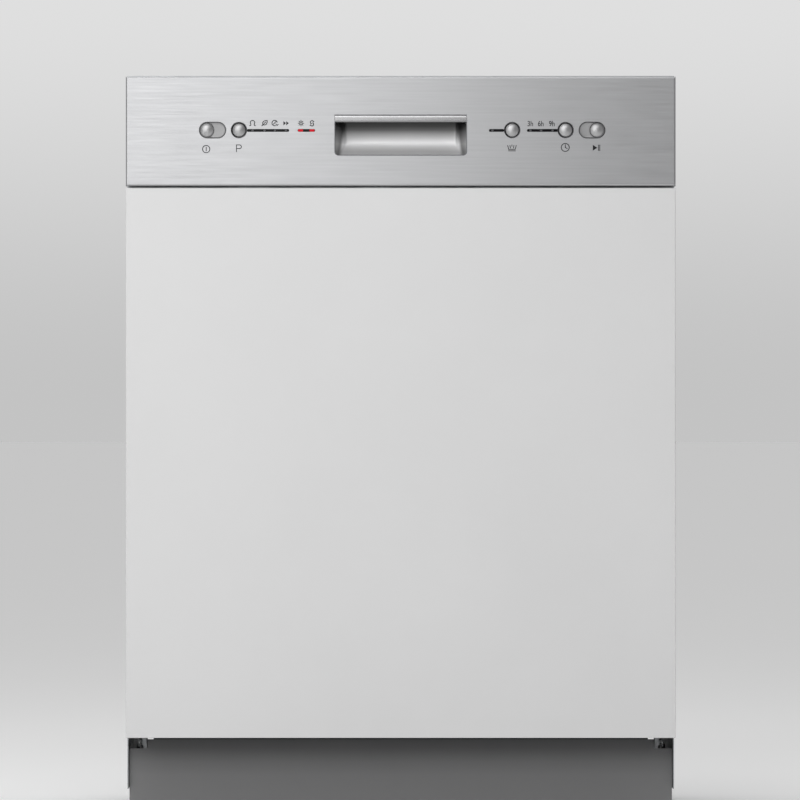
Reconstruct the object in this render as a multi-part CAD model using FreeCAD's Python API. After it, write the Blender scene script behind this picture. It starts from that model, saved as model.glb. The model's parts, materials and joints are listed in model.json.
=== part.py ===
import FreeCAD, Part
import math
import os

# Built-in dishwasher for a 600 mm kitchen niche. Millimetres, +Z up, the front faces -Y.
# The origin is on the floor, at the middle of the width and of the depth.

# Overall
HALF_W = 299.0
HEIGHT = 820.0
BACK = 285.0

# Front: decor board below, control fascia above
FRONT = -283.5
BOARD_BACK = -264.5
FRONT_HALF_W = 298.0
BOARD_Z0, BOARD_Z1 = 99.2, 695.3
FASCIA_Z0, FASCIA_Z1 = 697.4, 816.0
FASCIA_SHEET = 1.2

# Door pan and liner
PAN_HALF_W = 296.0
PAN_FOOT_HALF_W = 273.0
PAN_Z0, NOTCH_Z, PAN_Z1 = 124.0, 145.0, 812.0
PAN_TOP_Y = -246.0
RIM_Y = -226.0
FIELD_Y = -218.0
FIELD_Z0, FIELD_Z1, FIELD_HALF_W = 232.0, 788.0, 262.0

# Hinge
HINGE_Y, HINGE_Z = -245.0, 115.0
HINGE_PIN_R = 5.0
ARM_X0, ARM_X1 = 278.0, 282.0
LEVER_Y, LEVER_Z = -200.0, 90.0
SPRING_X = 285.2
ANCHOR_Y, ANCHOR_Z = 45.0, 60.0

# Handle recess
RECESS_HALF_W = 71.5
RECESS_Z0, RECESS_Z1 = 730.4, 774.3
LIP_Z0 = 766.7
LIP_BACK = -274.0
CUP_BACK = -257.0
CUP_TOP = 786.0
CUP_WALL = 2.0

# Controls: centre height, ring and cap radii
CONTROL_Z = 758.0
CAP_R = 7.3
RING_R = 8.9
STEM_R = 3.0
CAP_PROUD = 1.5
DOME_R, DOME_EDGE = 11.9, 6.8
ROUND_BUTTONS = {"programme_button": -175.3, "half_load_button": 120.8, "delay_button": 178.7}
PILL_BUTTONS = {"power_button": (-210.4, -218.7, -189.1), "start_button": (212.7, 192.8, 221.8)}
PILL_HALF_H = 9.1
WINDOW_Z, WINDOW_HALF_H = 757.6, 1.55
WINDOWS = [(-166.8, -120.8), (-111.8, -92.7), (95.5, 112.2), (136.7, 170.5)]
LAMP_X = [-108.6, -96.2]
LAMP_HALF_W = 2.6

# Dispenser on the inside of the door
DISP_X0, DISP_X1 = -72.0, 78.0
DISP_Z0, DISP_Z1 = 396.0, 584.0
DISP_FACE = -214.0
CUP_X0, CUP_X1, CUP_Z0, CUP_Z1 = -56.0, 8.0, 412.0, 474.0
LID_Z0, LID_Z1 = 405.0, 481.0
LID_STROKE = 84.0
RINSE_X, RINSE_Z, RINSE_R = 44.0, 450.0, 17.0

# Tub
TUB_HALF_W = 270.5
TUB_FRONT, TUB_REAR = -222.0, 262.0
TUB_Z0, TUB_Z1 = 150.0, 796.0
TUB_SHEET = 1.5
SEAL_HALF_W = 277.3
LEVER_TOP = 180.0
BASIN_HALF_W, BASIN_Y0, BASIN_Y1, BASIN_Z = 215.0, -190.0, 240.0, 140.0
CENTRE_Y = 20.0
FILTER_Y = 125.0
FILTER_R = 42.0
PUMP_Y = 186.0
SALT_X, SALT_Y = -130.0, 135.0

# Base and feet
BASE_Z0, BASE_Z1 = 25.0, 148.5
BASE_HALF_W = 271.0
BASE_Y0, BASE_Y1 = -205.0, 262.0
BASE_WALL = 3.0
FEET = {"front_left": (-250.0, -186.0), "front_right": (250.0, -186.0),
        "rear_left": (-250.0, 240.0), "rear_right": (250.0, 240.0)}
FOOT_STEM_R = 6.0
TOE_Z0 = 26.0
REAR_PORTS = [(-205.0, 75.0, 14.0), (205.0, 75.0, 10.5), (130.0, 62.0, 9.0)]

# Racks
WIRE_R = 2.2
RIM_R = 2.8
RACK_Y0, RACK_Y1 = -203.0, 240.0
UPPER_HALF_W, UPPER_Z, UPPER_RIM_Z = 246.0, 472.0, 612.0
LOWER_HALF_W, LOWER_Z, LOWER_RIM_Z = 236.0, 175.0, 296.0
LOWER_GRID_Y0 = -112.0
LOWER_SILL_Z = 242.0
WHEEL_R, WHEEL_Z = 18.0, 168.3
WHEEL_X0, WHEEL_X1 = 243.0, 253.0
WHEEL_Y = {"front": -95.0, "rear": 200.0}
AXLE_R = 4.0
RAIL_Z0, RAIL_Z1 = 520.0, 552.0
LOWER_ARM_Z, UPPER_ARM_Z, TOP_ARM_Z = 154.0, 446.0, 774.0
ARM_THICK = 12.0
FIT = 0.06


def vec(x, y, z):
    return FreeCAD.Vector(x, y, z)


def box(x0, x1, y0, y1, z0, z1):
    return Part.makeBox(x1 - x0, y1 - y0, z1 - z0, vec(x0, y0, z0))


def rod(start, end, radius):
    along = end - start
    return Part.makeCylinder(radius, along.Length, start, along)


def cyl_x(x0, x1, y, z, radius):
    return rod(vec(x0, y, z), vec(x1, y, z), radius)


def cyl_y(x, y0, y1, z, radius):
    return rod(vec(x, y0, z), vec(x, y1, z), radius)


def cyl_z(x, y, z0, z1, radius):
    return rod(vec(x, y, z0), vec(x, y, z1), radius)


def fuse(shapes):
    whole = shapes[0].multiFuse(shapes[1:]) if len(shapes) > 1 else shapes[0]
    return whole.removeSplitter()


def cut(shape, tools):
    return shape.cut(Part.makeCompound(tools))


def prism_x(points, x0, x1):
    """Solid with a (y, z) outline, from x0 to x1."""
    wire = Part.makePolygon([vec(x0, y, z) for y, z in points + points[:1]])
    return Part.Face(wire).extrude(vec(x1 - x0, 0, 0))


def prism_y(points, y0, y1):
    """Solid with an (x, z) outline, from y0 to y1."""
    wire = Part.makePolygon([vec(x, y0, z) for x, z in points + points[:1]])
    return Part.Face(wire).extrude(vec(0, y1 - y0, 0))


def prism_z(points, z0, z1):
    """Solid with an (x, y) outline, from z0 to z1."""
    wire = Part.makePolygon([vec(x, y, z0) for x, y in points + points[:1]])
    return Part.Face(wire).extrude(vec(0, 0, z1 - z0))


def slot_y(x0, x1, z, half_h, y0, y1):
    """Round-ended bar lying along X, cut through from y0 to y1."""
    body = box(x0 + half_h, x1 - half_h, y0, y1, z - half_h, z + half_h)
    ends = [cyl_y(x, y0, y1, z, half_h) for x in (x0 + half_h, x1 - half_h)]
    return fuse([body] + ends)


def link_bar(first, second, r_first, r_second, x0, x1):
    """Plate with two round ends at (y, z) points, from x0 to x1."""
    ends = [cyl_x(x0, x1, y, z, r) for (y, z), r in ((first, r_first), (second, r_second))]
    dy, dz = second[0] - first[0], second[1] - first[1]
    length = math.hypot(dy, dz)
    ny, nz = -dz / length, dy / length
    corners = [(first[0] + ny * r_first, first[1] + nz * r_first),
               (second[0] + ny * r_second, second[1] + nz * r_second),
               (second[0] - ny * r_second, second[1] - nz * r_second),
               (first[0] - ny * r_first, first[1] - nz * r_first)]
    return fuse(ends + [prism_x(corners, x0, x1)])


def edges_where(shape, test):
    """Edges whose two ends and middle all pass the test."""
    chosen = []
    for edge in shape.Edges:
        middle = edge.valueAt((edge.FirstParameter + edge.LastParameter) / 2)
        points = [vertex.Point for vertex in edge.Vertexes] + [middle]
        if all(test(point) for point in points):
            chosen.append(edge)
    return chosen


def rounded_where(shape, radius, test):
    return shape.makeFillet(radius, edges_where(shape, test))


def rounded_box(x0, x1, y0, y1, z0, z1, radius, along="z"):
    """Box whose four edges along one axis are rounded."""
    solid = box(x0, x1, y0, y1, z0, z1)
    direction = {"x": vec(1, 0, 0), "y": vec(0, 1, 0), "z": vec(0, 0, 1)}[along]
    chosen = []
    for edge in solid.Edges:
        step = edge.Vertexes[1].Point - edge.Vertexes[0].Point
        if abs(abs(step.normalize().dot(direction)) - 1) < 1e-6:
            chosen.append(edge)
    return solid.makeFillet(radius, chosen)


def mirror_x(shape):
    return shape.mirror(vec(0, 0, 0), vec(1, 0, 0))


def both_sides(shape):
    return [shape, mirror_x(shape)]


# Door front

def furniture_front():
    board = box(-FRONT_HALF_W, FRONT_HALF_W, FRONT, BOARD_BACK, BOARD_Z0, BOARD_Z1)
    return rounded_where(board, 1.2, lambda p: abs(p.y - FRONT) < 0.01)


def button_holes(grow, y0, y1):
    holes = [cyl_y(x, y0, y1, CONTROL_Z, RING_R + grow) for x in ROUND_BUTTONS.values()]
    for _, x0, x1 in PILL_BUTTONS.values():
        holes.append(slot_y(x0 - grow, x1 + grow, CONTROL_Z, PILL_HALF_H + grow, y0, y1))
    return holes


def window_holes(y0, y1):
    return [slot_y(x0, x1, WINDOW_Z, WINDOW_HALF_H, y0, y1) for x0, x1 in WINDOWS]


def recess_opening(grow, y0, y1):
    opening = box(-RECESS_HALF_W - grow, RECESS_HALF_W + grow, y0, y1,
                  RECESS_Z0 - grow, RECESS_Z1 + grow)
    return rounded_where(opening, 4.5 + grow,
                         lambda p: p.z < RECESS_Z0 + 0.01 and abs(abs(p.x) - RECESS_HALF_W - grow) < 0.01)


def control_fascia():
    outer = box(-FRONT_HALF_W, FRONT_HALF_W, FRONT, -266.0, FASCIA_Z0, FASCIA_Z1)
    outer = rounded_where(outer, 2.0, lambda p: abs(p.y - FRONT) < 0.01)
    t = FASCIA_SHEET
    inner = box(-FRONT_HALF_W + t, FRONT_HALF_W - t, FRONT + t, -266.0, FASCIA_Z0 + t, FASCIA_Z1 - t)
    inner = rounded_where(inner, 0.8, lambda p: abs(p.y - FRONT - t) < 0.01)
    tools = [inner, recess_opening(0, FRONT - 1, FRONT + 3)]
    tools += button_holes(0, FRONT - 1, FRONT + 3) + window_holes(FRONT - 1, FRONT + 3)
    return cut(outer, tools)


def fascia_carrier():
    t = FASCIA_SHEET
    x, z0, z1, y = FRONT_HALF_W - t, FASCIA_Z0 + t, FASCIA_Z1 - t, FRONT + t
    shell = box(-x, x, y, PAN_TOP_Y, z0, z1)
    shell = rounded_where(shell, 0.8, lambda p: abs(p.y - y) < 0.01)
    wall = 2.5
    hollow = box(-x + wall, x - wall, y + wall, PAN_TOP_Y, z0 + wall, z1 - wall)
    tools = [hollow, cup_volume(CUP_WALL)]
    tools += button_holes(0, y - 1, y + 4) + window_holes(y - 1, y + 4)
    tray = cut(shell, tools)
    posts = [cyl_y(side * px, y + wall - 0.5, -256.0, pz, 3.0)
             for side in (-1, 1) for px in (92.0, 226.0) for pz in (741.0, 775.0)]
    ribs = [box(px - 1, px + 1, y + wall - 0.5, -262.0, z0 + wall - 0.5, 724.0)
            for px in range(-260, 261, 65)]
    return fuse([tray] + posts + ribs)


def cup_outline(grow):
    """Side view of the handle recess: a scoop that rises behind the lip."""
    start = vec(0, FRONT, RECESS_Z0 - grow)
    low = vec(0, -268.0 + grow * 0.7, 735.5 - grow * 0.7)
    mid = vec(0, CUP_BACK - 2.2 + grow, 746.0)
    back = vec(0, CUP_BACK + grow, 758.0)
    top = vec(0, CUP_BACK + grow, CUP_TOP + grow)
    near = vec(0, LIP_BACK - grow, CUP_TOP + grow)
    drop = vec(0, LIP_BACK - grow, RECESS_Z1 + grow)
    front = vec(0, FRONT, RECESS_Z1 + grow)
    arc = Part.Arc(start, low, mid).toShape()
    rise = Part.Arc(mid, vec(0, CUP_BACK - 0.6 + grow, 751.8), back).toShape()
    lines = [Part.makeLine(a, b) for a, b in ((back, top), (top, near), (near, drop), (drop, front),
                                              (front, start))]
    return Part.Wire([arc, rise] + lines)


def cup_volume(grow):
    """Scoop between side cheeks that close in towards the back."""
    face = Part.Face(cup_outline(grow))
    half = RECESS_HALF_W + grow
    body = face.extrude(vec(2 * half, 0, 0))
    body.translate(vec(-half, 0, 0))
    back = CUP_BACK + grow
    plan = [(-half, FRONT), (half, FRONT), (half - 11.0, back), (-half + 11.0, back)]
    return body.common(prism_z(plan, 700, 800))


def handle_cup():
    return cut(cup_volume(CUP_WALL), [cup_volume(0), recess_opening(10, FRONT, FRONT + FASCIA_SHEET)])


def handle_lip():
    bar = box(-RECESS_HALF_W, RECESS_HALF_W, FRONT - 0.4, LIP_BACK, LIP_Z0, RECESS_Z1)
    bar = bar.makeFillet(3.4, edges_where(bar, lambda p: abs(p.y - FRONT + 0.4) < 0.01 and abs(p.x) <= 71.5
                                          and (p.z < LIP_Z0 + 0.01 or p.z > RECESS_Z1 - 0.01)))
    half = RECESS_HALF_W
    plan = [(-half, FRONT - 1), (half, FRONT - 1), (half, FRONT), (half - 4.0, LIP_BACK),
            (-half + 4.0, LIP_BACK), (-half, FRONT)]
    return bar.common(prism_z(plan, 760, 780))


def ring_bezel(x):
    front = FRONT + 0.3
    body = cyl_y(x, front, -270.0, CONTROL_Z, RING_R)
    well = cyl_y(x, front - 1, -272.0, CONTROL_Z, CAP_R + 0.35)
    guide = cyl_y(x, -273.0, -269.0, CONTROL_Z, STEM_R + FIT)
    return cut(body, [well, guide])


def pill_bezel(x, x0, x1):
    front = FRONT + 0.3
    body = slot_y(x0, x1, CONTROL_Z, PILL_HALF_H, front, -270.0)
    dish = slot_y(x0 + 1.1, x1 - 1.1, CONTROL_Z, PILL_HALF_H - 1.1, front - 1, front + 2.6)
    well = cyl_y(x, front - 1, -272.0, CONTROL_Z, CAP_R + 0.35)
    guide = cyl_y(x, -273.0, -269.0, CONTROL_Z, STEM_R + FIT)
    return cut(body, [dish, well, guide])


def button_bezels():
    rings = [ring_bezel(x) for x in ROUND_BUTTONS.values()]
    return rings + [pill_bezel(*place) for place in PILL_BUTTONS.values()]


def push_button(x):
    """Domed cap on a stem with a stop collar, turned about its own axis."""
    front = FRONT - CAP_PROUD
    middle = DOME_EDGE / 2
    rise = [front + DOME_R - math.sqrt(DOME_R ** 2 - r ** 2) for r in (middle, DOME_EDGE)]
    dome = Part.Arc(vec(0, front, 0), vec(middle, rise[0], 0), vec(DOME_EDGE, rise[1], 0)).toShape()
    outline = [(DOME_EDGE, rise[1]), (CAP_R, rise[1] + 0.6), (CAP_R, -276.0), (STEM_R, -276.0),
               (STEM_R, -269.9), (4.4, -269.9), (4.4, -268.2), (STEM_R, -268.2), (STEM_R, -264.5),
               (0, -264.5), (0, front)]
    sides = [Part.makeLine(vec(*a, 0), vec(*b, 0)) for a, b in zip(outline, outline[1:])]
    button = Part.Face(Part.Wire([dome] + sides)).revolve(vec(0, 0, 0), vec(0, 1, 0), 360)
    button.translate(vec(x, 0, CONTROL_Z))
    return button


def display_windows():
    strips = []
    rings = [cyl_y(x, FRONT - 1, -270.0, CONTROL_Z, RING_R) for x in ROUND_BUTTONS.values()]
    for hole, (x0, x1) in zip(window_holes(FRONT + 0.15, -278.0), WINDOWS):
        flange = box(x0 + 1.0, x1 - 1.0, FRONT + 3.7, -278.0, WINDOW_Z - 3.4, WINDOW_Z + 3.4)
        strips.append(cut(fuse([hole, flange]), rings))
    strips[1] = cut(strips[1], [lamp_box(x, FRONT - 1) for x in LAMP_X])
    return strips


def lamp_box(x, front):
    return box(x - LAMP_HALF_W, x + LAMP_HALF_W, front, -277.0, WINDOW_Z - 1.25, WINDOW_Z + 1.25)


def warning_lamps():
    return [lamp_box(x, FRONT + 0.15) for x in LAMP_X]


def control_boards():
    boards = []
    presses = list(ROUND_BUTTONS.values()) + [place[0] for place in PILL_BUTTONS.values()]
    for side in (-1, 1):
        x0, x1 = sorted((side * 86.0, side * 232.0))
        parts = [box(x0, x1, -256.0, -254.4, 736.0, 780.0)]
        for x in presses:
            if x * side > 0:
                parts.append(box(x - 4, x + 4, -261.9, -255.5, CONTROL_Z - 4, CONTROL_Z + 4))
        parts.append(box(x0 + 50, x0 + 78, -254.8, -249.0, 762.0, 776.0))
        boards.append(fuse(parts))
    return boards


# Door body

def pan_volume(t):
    """Outside of the door pan, or its inside when t is the sheet thickness."""
    low = box(-PAN_HALF_W + t, PAN_HALF_W - t, BOARD_BACK + t, RIM_Y - 1, NOTCH_Z + t, 697.0 - t)
    foot = box(-PAN_FOOT_HALF_W + t, PAN_FOOT_HALF_W - t, BOARD_BACK + t, RIM_Y - 1, PAN_Z0 + t, 300.0)
    top = box(-PAN_HALF_W + t, PAN_HALF_W - t, PAN_TOP_Y + t, RIM_Y - 1, 600.0, PAN_Z1 - t)
    return fuse([low, foot, top])


def door_pan():
    slots = [box(side * 280 - 3.5, side * 280 + 3.5, -260.0, -233.0, 140.0, 150.0) for side in (-1, 1)]
    return cut(pan_volume(0), [pan_volume(1.0)] + slots)


def door_liner():
    rim = fuse([box(-PAN_HALF_W, PAN_HALF_W, RIM_Y - 1, RIM_Y, NOTCH_Z, PAN_Z1),
                box(-PAN_FOOT_HALF_W, PAN_FOOT_HALF_W, RIM_Y - 1, RIM_Y, PAN_Z0, NOTCH_Z + 5)])
    field = box(-FIELD_HALF_W, FIELD_HALF_W, RIM_Y - 1, FIELD_Y, FIELD_Z0, FIELD_Z1)
    field = rounded_where(field, 14.0, lambda p: abs(abs(p.x) - FIELD_HALF_W) < 0.1
                          and min(abs(p.z - FIELD_Z0), abs(p.z - FIELD_Z1)) < 0.1)
    field = rounded_where(field, 3.0, lambda p: abs(p.y - FIELD_Y) < 0.01)
    hollow = box(-FIELD_HALF_W + 1, FIELD_HALF_W - 1, RIM_Y - 1, FIELD_Y - 1, FIELD_Z0 + 1, FIELD_Z1 - 1)
    hollow = rounded_where(hollow, 13.0, lambda p: abs(abs(p.x) - FIELD_HALF_W + 1) < 0.1
                           and min(abs(p.z - FIELD_Z0 - 1), abs(p.z - FIELD_Z1 + 1)) < 0.1)
    hollow = rounded_where(hollow, 2.0, lambda p: abs(p.y - FIELD_Y + 1) < 0.01)
    mouth = box(-16, 16, RIM_Y - 2, RIM_Y + 1, 803.2, 810.2)
    window = box(DISP_X0 + 4, DISP_X1 - 4, RIM_Y - 2, FIELD_Y + 1, DISP_Z0 + 4, DISP_Z1 - 4)
    return cut(fuse([rim, field]), [hollow, mouth, window])


def latch_housing():
    body = rounded_box(-34, 34, -243.0, RIM_Y - 1, 762, 811.0, 3.0, "y")
    throat = box(-16, 16, -240.0, RIM_Y, 803.2, 810.2)
    return cut(body, [throat])


def dispenser_housing():
    face = rounded_box(DISP_X0, DISP_X1, FIELD_Y, DISP_FACE, DISP_Z0, DISP_Z1, 10.0, "y")
    body = box(DISP_X0 + 4, DISP_X1 - 4, -252.0, FIELD_Y + 1, DISP_Z0 + 4, DISP_Z1 - 4)
    cup = rounded_box(CUP_X0, CUP_X1, -242.0, DISP_FACE + 1, CUP_Z0, CUP_Z1, 8.0, "y")
    tank = cyl_y(RINSE_X, -248.0, DISP_FACE + 1, RINSE_Z, RINSE_R + FIT)
    store = box(-60, 66, -249.0, -222.0, 492, 574)
    grooves = [box(x - 1.3, x + 1.3, DISP_FACE - 2.5, DISP_FACE + 1, LID_Z0, LID_Z1 + LID_STROKE + 4)
               for x in (CUP_X0 - 5, CUP_X1 + 5)]
    return cut(fuse([face, body]), [cup, tank, store] + grooves)


def dispenser_lid():
    plate = rounded_box(CUP_X0 - 9, CUP_X1 + 9, DISP_FACE + 0.2, -211.0, LID_Z0, LID_Z1, 6.0, "y")
    runners = [box(x - 0.9, x + 0.9, DISP_FACE - 2.1, DISP_FACE + 0.7, LID_Z0 + 1, LID_Z1 - 6)
               for x in (CUP_X0 - 5, CUP_X1 + 5)]
    grip = box(-40, -8, -211.2, -209.4, LID_Z0 + 8, LID_Z0 + 12)
    return fuse([plate, grip] + runners)


def rinse_aid_cap():
    plug = cyl_y(RINSE_X, -228.0, DISP_FACE, RINSE_Z, RINSE_R)
    disc = cyl_y(RINSE_X, DISP_FACE + 0.2, -211.4, RINSE_Z, 19.0)
    neck = cyl_y(RINSE_X, DISP_FACE - 0.5, DISP_FACE + 0.5, RINSE_Z, RINSE_R)
    grip = rounded_box(RINSE_X - 15, RINSE_X + 15, -211.6, -208.8, RINSE_Z - 3, RINSE_Z + 3, 2.0, "y")
    return fuse([plug, neck, disc, grip])


def hinge_arm():
    """Right arm: eye round the pin, bar up into the door, lever back to the spring."""
    x0, x1 = ARM_X0, ARM_X1
    eye = link_bar((HINGE_Y, HINGE_Z), (LEVER_Y, LEVER_Z), 11.0, 8.0, x0, x1)
    bar = link_bar((HINGE_Y, HINGE_Z), (-248.0, 285.0), 11.0, 9.0, x0, x1)
    pin = cyl_x(x1 - 1, SPRING_X + 2.2, LEVER_Y, LEVER_Z, 3.0)
    head = cyl_x(SPRING_X + 1.4, SPRING_X + 2.2, LEVER_Y, LEVER_Z, 4.6)
    foot = box(x1 - 1, PAN_HALF_W - 1, -258.0, -238.0, 200.0, 280.0)
    bore = cyl_x(x0 - 1, x1 + 1, HINGE_Y, HINGE_Z, HINGE_PIN_R + FIT)
    return cut(fuse([eye, bar, pin, head, foot]), [bore])


def door_screws():
    screws = []
    for z in (190, 340, 490, 640, 780):
        head = cyl_y(288.0, RIM_Y, RIM_Y + 2.0, z, 4.2)
        socket = cyl_y(288.0, RIM_Y + 0.8, RIM_Y + 3.0, z, 1.9)
        screws += both_sides(cut(head.makeFillet(0.9, edges_where(head, lambda p: p.y > RIM_Y + 1)),
                                 [socket]))
    return screws


# Cabinet

def tub_volume(t):
    """Outside of the tub when t is the sheet thickness, inside when it is zero."""
    radius = 16.0 + t
    hall = box(-TUB_HALF_W - t, TUB_HALF_W + t, TUB_FRONT, TUB_REAR + t, TUB_Z0 - t, TUB_Z1 + t)
    hall = rounded_where(hall, radius, lambda p: abs(abs(p.x) - TUB_HALF_W - t) < 0.1
                         and min(abs(p.z - TUB_Z0 + t), abs(p.z - TUB_Z1 - t)) < 0.1)
    hall = rounded_where(hall, radius, lambda p: abs(p.y - TUB_REAR - t) < 0.01)
    basin = box(-BASIN_HALF_W - t, BASIN_HALF_W + t, BASIN_Y0 - t, BASIN_Y1 + t, BASIN_Z - t, 170.0)
    basin = rounded_where(basin, 20.0 + t, lambda p: abs(abs(p.x) - BASIN_HALF_W - t) < 0.1
                          and min(abs(p.y - BASIN_Y0 + t), abs(p.y - BASIN_Y1 - t)) < 0.1)
    basin = rounded_where(basin, 4.0 + t, lambda p: abs(p.z - BASIN_Z + t) < 0.01)
    return fuse([hall, basin])


def tub():
    flange = fuse([box(-284, 284, TUB_FRONT, TUB_FRONT + TUB_SHEET, LEVER_TOP, 812),
                   box(-SEAL_HALF_W, SEAL_HALF_W, TUB_FRONT, TUB_FRONT + TUB_SHEET, 122, LEVER_TOP + 1)])
    holes = [cyl_z(0, FILTER_Y, 130, 145, FILTER_R + 8), cyl_z(0, CENTRE_Y, 130, 145, 12.5),
             cyl_z(SALT_X, SALT_Y, 130, 145, 34.5)]
    inside = tub_volume(0)
    mouth = box(-TUB_HALF_W, TUB_HALF_W, TUB_FRONT - 1, TUB_FRONT + 3, TUB_Z0 + 16, TUB_Z1 - 16)
    return cut(fuse([tub_volume(TUB_SHEET), flange]), [inside, mouth] + holes)


def door_gasket():
    front, back = TUB_FRONT - 3.4, TUB_FRONT
    outer = rounded_box(-SEAL_HALF_W, SEAL_HALF_W, front, back, 133, 803, 18.0, "y")
    inner = rounded_box(-271.0, 271.0, front - 1, back + 1, 141.5, 797.3, 14.0, "y")
    ring = cut(outer, [inner])
    return ring.makeFillet(1.4, edges_where(ring, lambda p: abs(p.y - front) < 0.01))


def base_tray():
    x, w = BASE_HALF_W, BASE_WALL
    shell = box(-x, x, BASE_Y0, BASE_Y1, BASE_Z0, 112.0)
    hollow = box(-x + w, x - w, BASE_Y0 + w, BASE_Y1 - w, BASE_Z0 + w, 113.0)
    tray = cut(shell, [hollow])
    sides = both_sides(box(x - w, x, BASE_Y0, BASE_Y1, 111.0, BASE_Z1))
    bosses = [cyl_z(px, py, BASE_Z0 + 1, 118.0, 12.0) for px, py in FEET.values()]
    webs = []
    for px, py in FEET.values():
        side = math.copysign(1, px)
        x0, x1 = sorted((px, side * (x - 1)))
        webs.append(box(x0, x1, py - 2, py + 2, BASE_Z0 + 1, 110.0))
    ribs = [box(-x + 1, x - 1, y - 1.5, y + 1.5, BASE_Z0 + 1, 46.0) for y in (-150.0, 205.0)]
    stand = base_stands()
    body = fuse([tray] + sides + bosses + webs + ribs + stand)
    bores = [cyl_z(px, py, BASE_Z0 - 1, 119.0, FOOT_STEM_R + FIT) for px, py in FEET.values()]
    ports = [cyl_y(px, BASE_Y1 - 10, BASE_Y1 + 1, pz, pr) for px, pz, pr in REAR_PORTS]
    return cut(body, bores + ports)


def base_stands():
    """Pads on the tray floor that carry the pumps and the softener."""
    return [box(-20, 20, PUMP_Y, PUMP_Y + 20, BASE_Z0 + 2, 40.0), box(86, 126, 60, 100, BASE_Z0 + 2, 40.0),
            box(-180, -140, 96, 156, BASE_Z0 + 2, 40.0)]


def side_panel():
    """Right panel: flat sheet with a front return and a bottom return."""
    sheet = box(HALF_W - 1, HALF_W, TUB_FRONT, BACK, 40, HEIGHT)
    turn = box(285, HALF_W, TUB_FRONT, TUB_FRONT + 1, LEVER_TOP, HEIGHT)
    lower = box(286, HALF_W, 100, BACK - 1, 40, 41)
    bead = box(HALF_W - 2.5, HALF_W - 0.5, TUB_FRONT + 40, BACK - 40, 300, 302)
    holes = [cyl_x(HALF_W - 5, HALF_W + 1, -205.0, z, 2.1) for z in (300.0, 760.0)]
    return cut(fuse([sheet, turn, lower, bead]), holes)


def rear_panel():
    sheet = box(-HALF_W + 1, HALF_W - 1, BACK - 1, BACK, 130, HEIGHT - 1.2)
    beads = [box(-220, 220, BACK - 2.2, BACK - 0.5, z, z + 8) for z in (260, 420, 580, 740)]
    foot = box(-HALF_W + 1, HALF_W - 1, BASE_Y1, BACK, 128.8, 130)
    return fuse([sheet, foot] + beads)


def top_frame():
    x = HALF_W - 1
    plate = box(-x, x, TUB_FRONT + 1, BACK, HEIGHT - 1.2, HEIGHT)
    face = box(-x, x, TUB_FRONT + 1, TUB_FRONT + 2.5, 813.0, HEIGHT)
    rails = both_sides(box(x - 14, x, TUB_FRONT + 20, BACK - 2, HEIGHT - 10, HEIGHT - 0.5))
    supports = [box(px - 8, px + 8, py, py + 2, TUB_Z1 + TUB_SHEET, HEIGHT - 0.5)
                for px in (-235, 235) for py in (-180, 20, 220)]
    opening = rounded_box(-210, 210, -150, 235, HEIGHT - 3, HEIGHT + 1, 24.0)
    holes = [cyl_z(px, -206.0, HEIGHT - 4, HEIGHT + 1, 2.25) for px in (-235, 235)]
    return cut(fuse([plate, face] + rails + supports), [opening] + holes)


def top_cover():
    """Felt mat that closes the opening in the top frame."""
    return rounded_box(-204, 204, -144, 229, TUB_Z1 + TUB_SHEET, TUB_Z1 + TUB_SHEET + 6, 20.0)


def toe_plate():
    """Plate behind the toe space, lower at its ends where the hinge levers pass."""
    step = ARM_X0 - 0.7
    outline = [(-297, TOE_Z0), (297, TOE_Z0), (297, 84), (step, 84), (step, 94), (-step, 94),
               (-step, 84), (-297, 84)]
    plate = prism_y(outline, -215.0, -213.5)
    brackets = [box(px - 12, px + 12, -214.0, BASE_Y0, 60, 80) for px in (-200, 200)]
    return fuse([plate] + brackets)


def hinge_bracket():
    """Right bracket: side plate on the tray, with the hinge pin standing inward."""
    plate = fuse([link_bar((HINGE_Y, HINGE_Z), (-165.0, 113.0), 13.0, 15.0, 290.0, 293.0),
                  box(290.0, 293.0, -165.0, -140.0, 98.0, 128.0)])
    pin = cyl_x(276.6, 291.0, HINGE_Y, HINGE_Z, HINGE_PIN_R)
    head = cyl_x(274.4, 276.8, HINGE_Y, HINGE_Z, 7.5)
    shoulder = cyl_x(283.2, 291.0, HINGE_Y, HINGE_Z, 8.0)
    block = box(BASE_HALF_W, 291.0, -164.0, -142.0, 98.0, 124.0)
    return fuse([plate, pin, head, shoulder, block])


def door_strike():
    plate = box(-22, 22, TUB_FRONT - 1.5, TUB_FRONT, 803.6, 811.6)
    tongue = prism_x([(TUB_FRONT, 804.8), (-234.0, 804.8), (-236.0, 805.8), (-234.5, 808.6),
                      (-232.0, 808.6), (-232.0, 807.0), (TUB_FRONT, 807.0)], -8.0, 8.0)
    return fuse([plate, tongue])


def spring_path():
    along = vec(0, ANCHOR_Y - LEVER_Y, ANCHOR_Z - LEVER_Z)
    return vec(SPRING_X, LEVER_Y, LEVER_Z), along


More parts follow.
